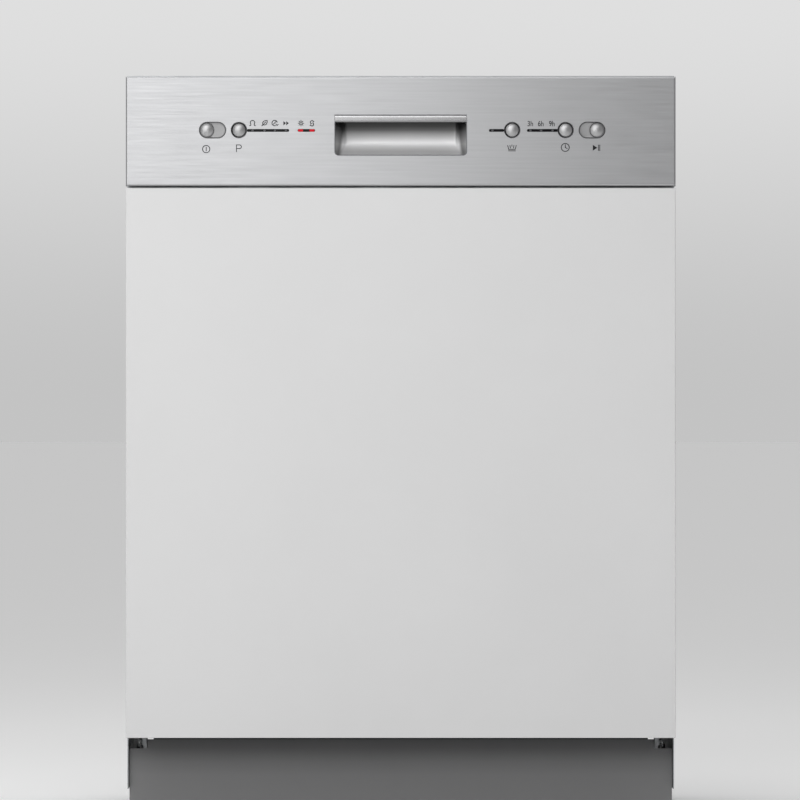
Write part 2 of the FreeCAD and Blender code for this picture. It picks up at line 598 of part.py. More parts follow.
def door_spring():
    """Right spring: close coil between two straight shanks that end in loops."""
    start, along = spring_path()
    unit = vec(along.x, along.y, along.z).normalize()
    wire_r, coil_r, loop_r, turns, pitch = 1.1, 7.0, 5.3, 30, 3.4
    coil_length = turns * pitch
    lead = (along.Length - coil_length) / 2
    helix = Part.makeLongHelix(pitch, coil_length, coil_r)
    profile = Part.Wire([Part.makeCircle(wire_r, vec(coil_r, 0, 0), vec(0, 1, 0))])
    coil = Part.Wire(helix.Edges).makePipeShell([profile], True, True)
    arms = [rod(vec(coil_r, 0, 0), vec(0, 0, -lead * 0.25), wire_r),
            rod(vec(0, 0, -lead * 0.25), vec(0, 0, -lead + loop_r), wire_r),
            rod(vec(coil_r, 0, coil_length), vec(0, 0, coil_length + lead * 0.25), wire_r),
            rod(vec(0, 0, coil_length + lead * 0.25), vec(0, 0, coil_length + lead - loop_r), wire_r)]
    knees = [Part.makeSphere(wire_r, vec(coil_r, 0, 0)), Part.makeSphere(wire_r, vec(0, 0, -lead * 0.25)),
             Part.makeSphere(wire_r, vec(coil_r, 0, coil_length)),
             Part.makeSphere(wire_r, vec(0, 0, coil_length + lead * 0.25))]
    loops = [Part.makeTorus(loop_r, wire_r, vec(0, 0, z), vec(1, 0, 0))
             for z in (-lead, coil_length + lead)]
    spring = coil.multiFuse(arms + knees + loops)
    turn = FreeCAD.Rotation(vec(0, 0, 1), unit)
    spring.Placement = FreeCAD.Placement(start + unit * lead, turn)
    return spring


def spring_anchor():
    """Right anchor: pin on the side of the tray that holds the end of the spring."""
    pin = cyl_x(BASE_HALF_W, SPRING_X + 3.5, ANCHOR_Y, ANCHOR_Z, 3.0)
    head = cyl_x(SPRING_X + 2.5, SPRING_X + 4.5, ANCHOR_Y, ANCHOR_Z, 4.6)
    plate = box(BASE_HALF_W, BASE_HALF_W + 2, ANCHOR_Y - 14, ANCHOR_Y + 30, ANCHOR_Z - 12, ANCHOR_Z + 12)
    return fuse([pin, head, plate])


def sump():
    body = cyl_z(0, FILTER_Y, 66, BASIN_Z - TUB_SHEET, FILTER_R + 14)
    hollow = cyl_z(0, FILTER_Y, 70, BASIN_Z, FILTER_R + 8)
    riser = fuse([cyl_z(0, CENTRE_Y, 88, BASIN_Z - TUB_SHEET, 16),
                  box(-14, 14, CENTRE_Y, FILTER_Y - 30, 88, 112)])
    bore = cyl_z(0, CENTRE_Y, 94, BASIN_Z, 12.3)
    stub = cyl_y(0, FILTER_Y + 45, PUMP_Y, 84, 13)
    return cut(fuse([body, riser, stub]), [hollow, bore, cyl_y(0, FILTER_Y + 30, PUMP_Y + 1, 84, 10)])


def spray_bearing():
    """Post on the tub floor that carries the lower spray arm and feeds it."""
    flange = cyl_z(0, CENTRE_Y, BASIN_Z, 143, 24)
    neck = cyl_z(0, CENTRE_Y, BASIN_Z - 8, LOWER_ARM_Z - 0.4, 12.3)
    pin = cyl_z(0, CENTRE_Y, 143, LOWER_ARM_Z + ARM_THICK + 0.4, 10.0)
    nut = cyl_z(0, CENTRE_Y, LOWER_ARM_Z + ARM_THICK + 0.4, LOWER_ARM_Z + ARM_THICK + 4.0, 14)
    bore = cyl_z(0, CENTRE_Y, BASIN_Z - 9, LOWER_ARM_Z + 8, 7.0)
    return cut(fuse([flange, neck, pin, nut]), [bore])


def filter_plate():
    """Flat strainer in the basin, with an opening for the filter cylinder."""
    plate = rounded_box(-88, 88, 62, 206, BASIN_Z, BASIN_Z + 1.6, 18.0)
    rows = []
    for i in range(9):
        x = -76 + 19 * i
        if abs(x) > 46:
            rows.append(box(x - 5, x + 5, 84, 184, BASIN_Z - 1, BASIN_Z + 3))
    opening = cyl_z(0, FILTER_Y, BASIN_Z - 1, BASIN_Z + 3, FILTER_R - 2 + FIT)
    return cut(plate, [opening] + rows)


def filter_cylinder():
    """Removable filter: slotted tube with a grip across its top."""
    tube = cyl_z(0, FILTER_Y, 80, BASIN_Z + 2.2, FILTER_R - 2)
    hollow = cyl_z(0, FILTER_Y, 82, 151, FILTER_R - 5)
    rim = cyl_z(0, FILTER_Y, BASIN_Z + 2.2, BASIN_Z + 5, FILTER_R + 3)
    slits = []
    for i in range(12):
        slit = box(20, FILTER_R + 5, FILTER_Y - 4, FILTER_Y + 4, 92, 130)
        slit.rotate(vec(0, FILTER_Y, 0), vec(0, 0, 1), 30 * i + 15)
        slits.append(slit)
    shell = cut(fuse([tube, rim]), [hollow] + slits)
    grip = box(-3, 3, FILTER_Y - FILTER_R + 4, FILTER_Y + FILTER_R - 4, 130, BASIN_Z + 8)
    return fuse([shell, grip])


def softener():
    """Salt tank under the tub, open at the top where the cap screws in."""
    body = rounded_box(-195, -66, 62, 190, 40, 118, 14.0)
    neck = cyl_z(SALT_X, SALT_Y, 117, BASIN_Z + 2, 34.0)
    tank = rounded_box(-191, -70, 66, 186, 44, 114, 10.0)
    bore = cyl_z(SALT_X, SALT_Y, 110, BASIN_Z + 3, 29.0 + FIT)
    lip = cyl_z(SALT_X, SALT_Y, BASIN_Z, BASIN_Z + 2, 38.0)
    return cut(fuse([body, neck, lip]), [tank, bore])


def salt_cap():
    plug = cyl_z(SALT_X, SALT_Y, 126, BASIN_Z + 2.2, 29.0)
    disc = cyl_z(SALT_X, SALT_Y, BASIN_Z + 2.2, BASIN_Z + 6.5, 36.0)
    grip = rounded_box(SALT_X - 28, SALT_X + 28, SALT_Y - 4, SALT_Y + 4, BASIN_Z + 6, BASIN_Z + 12, 3.0)
    return fuse([plug, disc, grip])


def circulation_pump():
    """Motor and volute on the tray, drawing from the sump."""
    y = PUMP_Y
    volute = cyl_y(0, y, y + 24, 84, 34)
    cavity = cyl_y(0, y + 3, y + 21, 84, 30)
    eye = cyl_y(0, y - 1, y + 5, 84, 10)
    motor = cyl_y(0, y + 24, y + 66, 84, 30)
    ribs = [cyl_y(0, y + step, y + step + 3, 84, 32) for step in (34, 44, 54)]
    foot = box(-18, 18, y + 2, y + 16, 40.0, 60.0)
    shaft = cyl_y(0, y + 8, y + 25, 84, 3.0)
    shell = cut(fuse([volute, motor, foot] + ribs), [cavity, eye])
    return fuse([shell, shaft])


def pump_impeller():
    y = PUMP_Y
    hub = cyl_y(0, y + 9, y + 18, 84, 8.0)
    disc = cyl_y(0, y + 15.5, y + 18, 84, 26.0)
    blades = []
    for i in range(6):
        blade = box(6.5, 25.5, y + 8.5, y + 16, 83.1, 84.9)
        blade.rotate(vec(0, 0, 84), vec(0, 1, 0), 60 * i)
        blades.append(blade)
    return cut(fuse([hub, disc] + blades), [cyl_y(0, y + 7, y + 19, 84, 3.0 + FIT)])


def drain_pump():
    body = cyl_y(106, 62.0, 98.0, 70, 26)
    motor = box(88, 124, 98, 130, 54, 88)
    foot = box(90, 122, 64, 96, 40.0, 52.0)
    inlet = rod(vec(50, 100, 74), vec(84, 86, 72), 9)
    inlet = cut(inlet, [cyl_z(0, FILTER_Y, 60, 150, FILTER_R + 14.0)])
    return fuse([body, motor, foot, inlet])


def rear_fittings():
    """Inlet valve with its threaded stub, drain spigot and cable gland on the tray's rear wall."""
    valve = fuse([box(-228, -182, 226, BASE_Y1 - BASE_WALL, 50, 100),
                  cyl_y(-205, BASE_Y1, BASE_Y1 + 3, 75, 17.0),
                  cyl_y(-205, 250, BASE_Y1 + 20, 75, 13.2)])
    valve = cut(valve, [cyl_y(-205, BASE_Y1 + 2, BASE_Y1 + 21, 75, 8.5)])
    spigot = fuse([cyl_y(205, BASE_Y1 - 30, BASE_Y1 + 21, 75, 9.5),
                   cyl_y(205, BASE_Y1, BASE_Y1 + 2, 75, 13.5),
                   cyl_y(205, BASE_Y1 - 8, BASE_Y1 - BASE_WALL, 75, 15)])
    spigot = cut(spigot, [cyl_y(205, BASE_Y1 - 31, BASE_Y1 + 22, 75, 7.5)])
    gland = fuse([cyl_y(130, BASE_Y1 - 12, BASE_Y1 + 8, 62, 8.5),
                  cyl_y(130, BASE_Y1 - 9, BASE_Y1 - BASE_WALL, 62, 13),
                  cyl_y(130, BASE_Y1, BASE_Y1 + 8, 62, 12)])
    gland = cut(gland, [cyl_y(130, BASE_Y1 - 13, BASE_Y1 + 9, 62, 4.0)])
    return [valve, spigot, gland]


def air_break():
    """Flat water chamber between the tub and the left panel."""
    body = rounded_box(-296.5, -TUB_HALF_W - TUB_SHEET, -60, 150, 200, 480, 12.0, "x")
    ribs = [box(-297.4, -296, -50, 140, z, z + 3) for z in range(240, 460, 40)]
    neck = cyl_z(-284.0, 100.0, 152.0, 201.0, 8.0)
    return fuse([body, neck] + ribs)


def feed_pipe():
    """Flat duct up the rear wall and along the ceiling to the top spray arm."""
    riser = rounded_box(-17, 17, TUB_REAR - 9, TUB_REAR, 166, 776, 3.5)
    ceiling = box(-17, 17, CENTRE_Y, TUB_REAR - 26, TUB_Z1 - 8, TUB_Z1)
    elbow = prism_x([(TUB_REAR - 9, 760), (TUB_REAR, 760), (TUB_REAR, 776), (TUB_REAR - 17, TUB_Z1),
                     (TUB_REAR - 28, TUB_Z1), (TUB_REAR - 28, TUB_Z1 - 8), (TUB_REAR - 16, TUB_Z1 - 8)],
                    -17, 17)
    boss = cyl_z(0, CENTRE_Y, TOP_ARM_Z + ARM_THICK + 0.4, TUB_Z1, 18)
    pin = cyl_z(0, CENTRE_Y, TOP_ARM_Z - 0.4, TUB_Z1 - 4, 10.0)
    nut = cyl_z(0, CENTRE_Y, TOP_ARM_Z - 4.0, TOP_ARM_Z - 0.4, 14)
    port = cyl_y(0, RACK_Y1 + 4, TUB_REAR - 8, UPPER_ARM_Z + 19, 13)
    return fuse([riser, ceiling, elbow, boss, pin, nut, port])


def spray_arm(z):
    """Two-bladed arm with upward jets and a round hub."""
    hub = cyl_z(0, CENTRE_Y, z, z + ARM_THICK, 26)
    reach = 222.0
    plan = [(-reach, -14), (-60, -24), (60, -20), (reach, -9), (reach, 14), (60, 24), (-60, 20), (-reach, 9)]
    blade = prism_z([(x, CENTRE_Y + y) for x, y in plan], z + 1, z + ARM_THICK - 1)
    tips = [edge for edge in edges_where(blade, lambda p: abs(abs(p.x) - reach) < 0.01)
            if edge.BoundBox.ZLength > 1]
    blade = blade.makeFillet(9.0, tips)
    blade = blade.makeChamfer(2.5, edges_where(blade, lambda p: p.z > z + ARM_THICK - 1.01))
    jets = []
    for i, x in enumerate((-205, -168, -128, -86, 86, 128, 168, 205)):
        jets.append(cyl_z(x, CENTRE_Y + (3 if i % 2 else -3), z + ARM_THICK - 4, z + ARM_THICK + 1, 2.2))
    bore = cyl_z(0, CENTRE_Y, z - 1, z + ARM_THICK + 1, 10.0 + FIT)
    return cut(fuse([hub, blade]), jets + [bore])


def fixed_rail():
    """Right rail: channel on the tub wall."""
    web = box(TUB_HALF_W - 1.6, TUB_HALF_W, -205, 235, RAIL_Z0, RAIL_Z1)
    lips = [box(262.6, TUB_HALF_W - 1, -205, 235, z, z + 1.6) for z in (RAIL_Z0, RAIL_Z1 - 1.6)]
    return fuse([web] + lips)


def middle_rail():
    web = box(262.6, 264.2, -203, 233, RAIL_Z0 + 2.4, RAIL_Z1 - 2.4)
    head = box(264.0, 267.6, -203, 233, RAIL_Z0 + 2.4, RAIL_Z0 + 6.0)
    top = box(264.0, 267.6, -203, 233, RAIL_Z1 - 6.0, RAIL_Z1 - 2.4)
    lips = [box(257.6, 263.0, -203, 233, z, z + 1.6) for z in (RAIL_Z0 + 2.4, RAIL_Z1 - 4.0)]
    return fuse([web, head, top] + lips)


def inner_rail():
    """Right rail member that is fixed to the upper rack."""
    bar = box(258.4, 261.8, -200, 230, RAIL_Z0 + 4.8, RAIL_Z1 - 4.8)
    webs = [box(UPPER_HALF_W + RIM_R, 259.0, y, y + 26, RAIL_Z0 + 7, RAIL_Z1 - 7) for y in (-190, 10, 194)]
    back = box(UPPER_HALF_W + RIM_R, UPPER_HALF_W + RIM_R + 1.6, -200, 230, RAIL_Z0 + 5, RAIL_Z1 - 5)
    return fuse([bar, back] + webs)


def fixed_rails():
    return both_sides(fixed_rail())


def inner_rails():
    return both_sides(inner_rail())


# Racks: straight coated wires that touch side to side

def spaced(first, last, count):
    return [first + (last - first) * i / (count - 1) for i in range(count)]


def rim_loop(half_w, y0, y1, z, radius):
    sides = [cyl_y(side * half_w, y0, y1, z, radius) for side in (-1, 1)]
    ends = [cyl_x(-half_w + radius, half_w - radius, y, z, radius) for y in (y0 + radius, y1 - radius)]
    return sides + ends


def upper_rack():
    """Basket with upright walls, a floor grid and two rows of cup prongs."""
    w, z0, z1 = UPPER_HALF_W, UPPER_Z, UPPER_RIM_Z
    inset = w - RIM_R - WIRE_R
    wires = rim_loop(w, RACK_Y0, RACK_Y1, z1, RIM_R)
    front, back = RACK_Y0 + 2 * RIM_R + WIRE_R, RACK_Y1 - 2 * RIM_R - WIRE_R
    runs = spaced(-inset + 4 * WIRE_R, inset - 4 * WIRE_R, 13)
    for x in runs:
        wires.append(cyl_y(x, front - WIRE_R, back + WIRE_R, z0, WIRE_R))
        for y in (front, back):
            wires.append(cyl_z(x, y, z0 + WIRE_R, z1, WIRE_R))
    for y in spaced(front + 30, back - 30, 11):
        wires.append(cyl_x(-inset - WIRE_R, inset + WIRE_R, y, z0 + 2 * WIRE_R, WIRE_R))
        for side in (-1, 1):
            wires.append(cyl_z(side * inset, y, z0 + 3 * WIRE_R, z1, WIRE_R))
    wires += [cyl_y(side * inset, front - WIRE_R, back + WIRE_R, z0, WIRE_R) for side in (-1, 1)]
    for x in (-150, -50, 50, 150):
        for y in spaced(front + 47, back - 47, 10):
            wires.append(cyl_z(x, y, z0 + WIRE_R * 3, z0 + 60, WIRE_R))
    return wires


def lower_rack():
    """Basket on wheels, lower at the front edge, with rows of plate prongs."""
    w, z0, z1 = LOWER_HALF_W, LOWER_Z, LOWER_RIM_Z
    inset = w - RIM_R - WIRE_R
    back = RACK_Y1 - 2 * RIM_R - WIRE_R
    wires = rim_loop(w, RACK_Y0, RACK_Y1, z1, RIM_R)
    runs = spaced(-inset + 4 * WIRE_R, inset - 4 * WIRE_R, 12)
    front = RACK_Y0 + 2 * RIM_R + WIRE_R
    for x in runs:
        wires.append(cyl_y(x, LOWER_GRID_Y0, back + WIRE_R, z0, WIRE_R))
        wires.append(rod(vec(x, LOWER_GRID_Y0 - 2.2, z0 + 1.6), vec(x, front - 0.2, LOWER_SILL_Z), WIRE_R))
        wires.append(cyl_z(x, front, LOWER_SILL_Z + 3.2, z1, WIRE_R))
        wires.append(cyl_z(x, back, z0 + WIRE_R, z1, WIRE_R))
    rows = spaced(LOWER_GRID_Y0 + 14, back - 30, 10)
    for y in rows:
        wires.append(cyl_x(-inset - WIRE_R, inset + WIRE_R, y, z0 + 2 * WIRE_R, WIRE_R))
        for side in (-1, 1):
            wires.append(cyl_z(side * inset, y, z0 + 3 * WIRE_R, z1, WIRE_R))
    for x in (-190, -110, -30, 50, 130):
        for y in rows:
            if x < 100 or y > 120:
                wires.append(cyl_z(x, y, z0 + 3 * WIRE_R, z0 + 86, WIRE_R))
    return wires


def wheel_carriers():
    """Plastic shoes on the sides of the lower rack, each with an axle stub."""
    shoes = []
    inner, outer, end = LOWER_HALF_W + RIM_R, WHEEL_X0 - 0.6, WHEEL_X1 + 0.6
    for y in WHEEL_Y.values():
        plate = rounded_box(inner, outer, y - 16, y + 16, WHEEL_Z - 10, 262.0, 6.0, "x")
        axle = cyl_x(outer - 0.5, end + 0.5, y, WHEEL_Z, AXLE_R)
        head = cyl_x(end, end + 2.0, y, WHEEL_Z, 6.5)
        shoes += both_sides(fuse([plate, axle, head]))
    return shoes


def rack_wheel(y):
    x0, x1 = WHEEL_X0, WHEEL_X1
    tyre = cyl_x(x0, x1, y, WHEEL_Z, WHEEL_R)
    tyre = tyre.makeFillet(1.6, edges_where(tyre, lambda p: math.hypot(p.y - y, p.z - WHEEL_Z) > WHEEL_R - 0.1
                                            and min(abs(p.x - x0), abs(p.x - x1)) < 0.01))
    dishes = [cyl_x(x0 - 1, x0 + 2.5, y, WHEEL_Z, 13.5), cyl_x(x1 - 2.5, x1 + 1, y, WHEEL_Z, 13.5)]
    hub = cyl_x(x0, x1, y, WHEEL_Z, 7.0)
    wheel = fuse([cut(tyre, dishes), hub])
    return cut(wheel, [cyl_x(x0 - 1, x1 + 1, y, WHEEL_Z, AXLE_R + FIT)])


def cutlery_basket():
    """Slatted box on the floor grid, split by two partitions, with a handle."""
    x0, x1, y0, y1 = 142.0, 222.0, -88.0, 104.0
    z0 = LOWER_Z + 3 * WIRE_R + 0.1
    z1 = z0 + 118
    shell = cut(rounded_box(x0, x1, y0, y1, z0, z1, 8.0),
                [rounded_box(x0 + 2.2, x1 - 2.2, y0 + 2.2, y1 - 2.2, z0 + 2.2, z1 + 1, 6.0)])
    windows = []
    for i in range(12):
        y = y0 + 14 + i * 15
        windows.append(box(x0 - 1, x1 + 1, y - 4, y + 4, z0 + 14, z0 + 60))
        windows.append(box(x0 - 1, x1 + 1, y - 4, y + 4, z0 + 70, z0 + 104))
        windows += [box(x0 + 12 + 15 * j, x0 + 20 + 15 * j, y - 4, y + 4, z0 - 1, z0 + 3) for j in range(4)]
    shell = cut(shell, windows)
    walls = [box(x0 + 2, x1 - 2, y - 1, y + 1, z0 + 2, z1 - 20) for y in (y0 + 66.5, y0 + 126.5)]
    posts = [box(179, 185, y - 1.5, y + 1.5, z0 + 60, z1 + 22) for y in (y0 + 66.5, y0 + 126.5)]
    bar = box(179, 185, y0 + 65, y0 + 128, z1 + 18, z1 + 26)
    return fuse([shell] + walls + posts + [bar])


def arm_conduit():
    """Duct under the upper rack that feeds its spray arm from the rear port."""
    z = UPPER_ARM_Z + 14.4
    duct = rounded_box(-13, 13, CENTRE_Y, RACK_Y1 + 1, z, z + 9.4, 4.0)
    clips = [box(-13, 13, y, y + 8, z + 9, UPPER_Z - WIRE_R) for y in (60.0, 200.0)]
    boss = cyl_z(0, CENTRE_Y, UPPER_ARM_Z + ARM_THICK + 0.4, UPPER_Z - WIRE_R - 0.3, 17)
    pin = cyl_z(0, CENTRE_Y, UPPER_ARM_Z - 0.4, z + 4, 10.0)
    nut = cyl_z(0, CENTRE_Y, UPPER_ARM_Z - 4.0, UPPER_ARM_Z - 0.4, 14)
    return fuse([duct, boss, pin, nut] + clips)


def levelling_foot(x, y):
    pad = cyl_z(x, y, 0, 7, 17)
    pad = pad.makeFillet(1.5, edges_where(pad, lambda p: p.z < 0.01))
    nut = prism_z([(x + 10 * math.cos(math.radians(a)), y + 10 * math.sin(math.radians(a)))
                   for a in range(0, 360, 60)], 6.5, 14)
    stem = cyl_z(x, y, 13, 104, FOOT_STEM_R)
    return fuse([pad, nut, stem])


def write(name, solids):
    shapes = solids if isinstance(solids, (list, tuple)) else [solids]
    whole = Part.makeCompound([solid for shape in shapes for solid in shape.Solids])
    whole.exportStep(os.path.join("parts", name + ".step"))


def door_nodes():
    write("furniture_front", furniture_front())
    write("control_fascia", control_fascia())
    write("fascia_carrier", fascia_carrier())
    write("handle_cup", handle_cup())
    write("handle_lip", handle_lip())
    write("button_bezels", button_bezels())
    write("display_windows", display_windows())
    write("warning_lamps", warning_lamps())
    write("control_boards", control_boards())
    write("door_pan", door_pan())
    write("door_liner", door_liner())
    write("latch_housing", latch_housing())
    write("dispenser_housing", dispenser_housing())
    write("dispenser_lid", dispenser_lid())
    write("rinse_aid_cap", rinse_aid_cap())
    write("hinge_arms", both_sides(hinge_arm()))
    write("door_screws", door_screws())
    for name, x in ROUND_BUTTONS.items():
        write(name, push_button(x))
    for name, place in PILL_BUTTONS.items():
        write(name, push_button(place[0]))


def cabinet_nodes():
    write("tub", tub())
    write("door_gasket", door_gasket())
    write("base_tray", base_tray())
    write("side_panels", both_sides(side_panel()))
    write("rear_panel", rear_panel())
    write("top_frame", [top_frame(), door_strike()])
    write("top_cover", top_cover())
    write("toe_plate", toe_plate())
    write("hinge_brackets", both_sides(hinge_bracket()) + both_sides(spring_anchor()))
    write("door_springs", both_sides(door_spring()))
    write("sump", [sump(), drain_pump()])
    write("spray_bearing", spray_bearing())
    write("filter_plate", filter_plate())
    write("filter_cylinder", filter_cylinder())
    write("softener", softener())
    write("salt_cap", salt_cap())
    write("circulation_pump", circulation_pump())
    write("pump_impeller", pump_impeller())
    write("rear_fittings", rear_fittings())
    write("air_break", air_break())
    write("feed_pipe", feed_pipe())
    write("fixed_rails", fixed_rails())
    for name, (x, y) in FEET.items():
        write(name + "_foot", levelling_foot(x, y))


def wash_nodes():
    write("lower_spray_arm", spray_arm(LOWER_ARM_Z))
    write("upper_spray_arm", spray_arm(UPPER_ARM_Z))
    write("top_spray_arm", spray_arm(TOP_ARM_Z))
    write("upper_rack", upper_rack())
    write("inner_rails", inner_rails())
    write("middle_rails", both_sides(middle_rail()))
    write("arm_conduit", arm_conduit())
    write("lower_rack", lower_rack())
    write("wheel_carriers", wheel_carriers())
    for name, y in WHEEL_Y.items():
        write(name + "_wheels", both_sides(rack_wheel(y)))
    write("cutlery_basket", cutlery_basket())


os.makedirs("parts", exist_ok=True)
door_nodes()
cabinet_nodes()
wash_nodes()
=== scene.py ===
import bpy
import json
import math
from mathutils import Matrix, Vector


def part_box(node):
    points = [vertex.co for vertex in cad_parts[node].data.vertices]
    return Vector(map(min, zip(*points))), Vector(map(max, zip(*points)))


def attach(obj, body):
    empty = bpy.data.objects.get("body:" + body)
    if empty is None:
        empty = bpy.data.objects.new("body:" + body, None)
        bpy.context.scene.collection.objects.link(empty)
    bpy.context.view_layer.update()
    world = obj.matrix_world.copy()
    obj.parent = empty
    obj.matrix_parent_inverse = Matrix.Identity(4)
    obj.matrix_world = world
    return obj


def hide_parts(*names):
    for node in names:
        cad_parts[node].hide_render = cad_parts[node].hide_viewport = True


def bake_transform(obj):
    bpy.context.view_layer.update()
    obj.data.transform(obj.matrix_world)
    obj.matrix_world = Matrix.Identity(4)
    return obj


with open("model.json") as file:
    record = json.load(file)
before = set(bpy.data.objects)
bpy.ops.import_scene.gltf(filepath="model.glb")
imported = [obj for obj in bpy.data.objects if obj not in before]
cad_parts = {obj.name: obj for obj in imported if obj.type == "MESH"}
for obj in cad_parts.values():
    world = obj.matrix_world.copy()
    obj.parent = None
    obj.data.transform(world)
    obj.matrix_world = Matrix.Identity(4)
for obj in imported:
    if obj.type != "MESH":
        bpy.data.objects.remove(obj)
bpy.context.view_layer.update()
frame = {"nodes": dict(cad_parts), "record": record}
NODES = frame["nodes"]
MM = 0.001


# Node helpers; the owner of the nodes is a material or the world

def new_material(name):
    material = bpy.data.materials.new(name)
    material.use_nodes = True
    return material


def shader(material):
    return material.node_tree.nodes["Principled BSDF"]


def add(owner, kind, **sockets):
    node = owner.node_tree.nodes.new(kind)
    for key, value in sockets.items():
        node.inputs[key].default_value = value
    return node


def link(owner, source, target):
    owner.node_tree.links.new(source, target)


def mapped_noise(material, scale, detail=4.0, stretch=(1.0, 1.0, 1.0), rough=0.55):
    """Noise over the object's own coordinates, in metres."""
    coord = add(material, "ShaderNodeTexCoord")
    mapping = add(material, "ShaderNodeMapping", Scale=stretch)
    noise = add(material, "ShaderNodeTexNoise", Scale=scale, Detail=detail, Roughness=rough)
    link(material, coord.outputs["Object"], mapping.inputs["Vector"])
    link(material, mapping.outputs["Vector"], noise.inputs["Vector"])
    return noise


def map_range(owner, source, given, wanted):
    """Maps a socket's values from the given span to the wanted one, and returns the result socket."""
    spread = add(owner, "ShaderNodeMapRange")
    for key, value in zip(("From Min", "From Max", "To Min", "To Max"), (*given, *wanted)):
        spread.inputs[key].default_value = value
    link(owner, source, spread.inputs["Value"])
    return spread.outputs["Result"]


def vary_roughness(material, noise, low, high):
    """Follows the middle of the noise's range, where nearly all of its values lie."""
    spread = map_range(material, noise.outputs["Fac"], (0.3, 0.7), (low, high))
    link(material, spread, shader(material).inputs["Roughness"])


def tint_by(material, noise, colour, spread):
    """Lets the base colour drift a little with a noise."""
    ramp = add(material, "ShaderNodeValToRGB")
    for element, sign, place in zip(ramp.color_ramp.elements, (-1, 1), (0.3, 0.7)):
        element.position = place
        element.color = (*[min(1.0, max(0.0, c * (1 + sign * spread))) for c in colour], 1.0)
    link(material, noise.outputs["Fac"], ramp.inputs["Fac"])
    link(material, ramp.outputs["Color"], shader(material).inputs["Base Color"])


def add_bump(material, noises, strength, distance):
    """Chains one bump node per noise, coarse to fine."""
    last = None
    for noise, share in noises:
        bump = add(material, "ShaderNodeBump", Strength=strength * share, Distance=distance)
        link(material, noise.outputs["Fac"], bump.inputs["Height"])
        if last:
            link(material, last.outputs["Normal"], bump.inputs["Normal"])
        last = bump
    link(material, last.outputs["Normal"], shader(material).inputs["Normal"])


def set_base(material, colour, metallic=0.0, **sockets):
    """Socket names are given with underscores for their spaces."""
    bsdf = shader(material)
    bsdf.inputs["Base Color"].default_value = (*colour, 1.0)
    bsdf.inputs["Metallic"].default_value = metallic
    for key, value in sockets.items():
        bsdf.inputs[key.replace("_", " ")].default_value = value


# Materials

def brushed_metal(name, colour, low, high, direction, strength=0.05, line=900.0, reach=0.022):
    """Metal with fine lines along one axis: the noises are stretched along it."""
    material = new_material(name)
    set_base(material, colour, 1.0)
    squeeze = [1.0, 1.0, 1.0]
    squeeze["xyz".index(direction)] = reach
    fine = mapped_noise(material, line, 3.0, tuple(squeeze))
    broad = mapped_noise(material, line * 0.55, 3.0, tuple(squeeze))
    vary_roughness(material, fine, low, high)
    tint_by(material, broad, colour, 0.035)
    add_bump(material, [(broad, 0.5), (fine, 1.0)], strength, 0.00004)
    return material


def rolled_sheet(name, colour, low, high, cloud=9.0):
    """Bright sheet steel: cloudy gloss and a very slight waviness."""
    material = new_material(name)
    set_base(material, colour, 1.0)
    cloudy = mapped_noise(material, cloud, 5.0)
    grain = mapped_noise(material, 700.0, 3.0, (1.0, 1.0, 0.05))
    vary_roughness(material, cloudy, low, high)
    tint_by(material, cloudy, colour, 0.04)
    add_bump(material, [(cloudy, 0.6), (grain, 0.25)], 0.25, 0.0002)
    return material


def zinc_sheet(name, colour):
    """Galvanised sheet with its crystal spangle."""
    material = new_material(name)
    set_base(material, colour, 0.85)
    coord = add(material, "ShaderNodeTexCoord")
    spangle = add(material, "ShaderNodeTexVoronoi", Scale=70.0)
    link(material, coord.outputs["Object"], spangle.inputs["Vector"])
    spread = map_range(material, spangle.outputs["Color"], (0.0, 1.0), (0.32, 0.58))
    link(material, spread, shader(material).inputs["Roughness"])
    bump = add(material, "ShaderNodeBump", Strength=0.12, Distance=0.0001)
    link(material, spangle.outputs["Distance"], bump.inputs["Height"])
    link(material, bump.outputs["Normal"], shader(material).inputs["Normal"])
    return material


def moulded(name, colour, low, high, grain=1600.0, strength=0.25, **sockets):
    """Injection-moulded plastic: fine grain and slightly uneven gloss."""
    material = new_material(name)
    set_base(material, colour, 0.0, **sockets)
    broad = mapped_noise(material, 30.0, 3.0)
    fine = mapped_noise(material, grain, 2.0)
    vary_roughness(material, broad, low, high)
    tint_by(material, broad, colour, 0.05)
    add_bump(material, [(broad, 0.2), (fine, 1.0)], strength, 0.00006)
    return material


def laminate():
    """Satin lacquered board: faint orange peel over an even ground."""
    material = new_material("decor_laminate")
    colour = (0.695, 0.695, 0.697)
    set_base(material, colour, 0.0, Coat_Weight=0.08, Coat_Roughness=0.3, Specular_IOR_Level=0.35)
    broad = mapped_noise(material, 6.0, 3.0)
    peel = mapped_noise(material, 420.0, 2.0)
    vary_roughness(material, broad, 0.42, 0.52)
    tint_by(material, broad, colour, 0.012)
    add_bump(material, [(broad, 0.15), (peel, 0.6)], 0.10, 0.0001)
    return material


def metallic_paint(name, colour, low, high, metallic=0.85):
    """Silver paint over plastic: metal flakes under a soft gloss."""
    material = new_material(name)
    set_base(material, colour, metallic, Coat_Weight=0.1, Coat_Roughness=0.3)
    broad = mapped_noise(material, 40.0, 3.0)
    flakes = mapped_noise(material, 2600.0, 2.0)
    vary_roughness(material, broad, low, high)
    tint_by(material, flakes, colour, 0.06)
    add_bump(material, [(broad, 0.2), (flakes, 0.8)], 0.12, 0.00003)
    return material


def felt_mat():
    """Matted fibres with a dull sheen."""
    material = new_material("felt")
    set_base(material, (0.05, 0.05, 0.053), 0.0, Sheen_Weight=0.4, Sheen_Roughness=0.6)
    fibres = mapped_noise(material, 900.0, 6.0, rough=0.8)
    clumps = mapped_noise(material, 60.0, 4.0)
    vary_roughness(material, clumps, 0.85, 0.98)
    add_bump(material, [(clumps, 0.6), (fibres, 1.0)], 0.8, 0.0006)
    return material


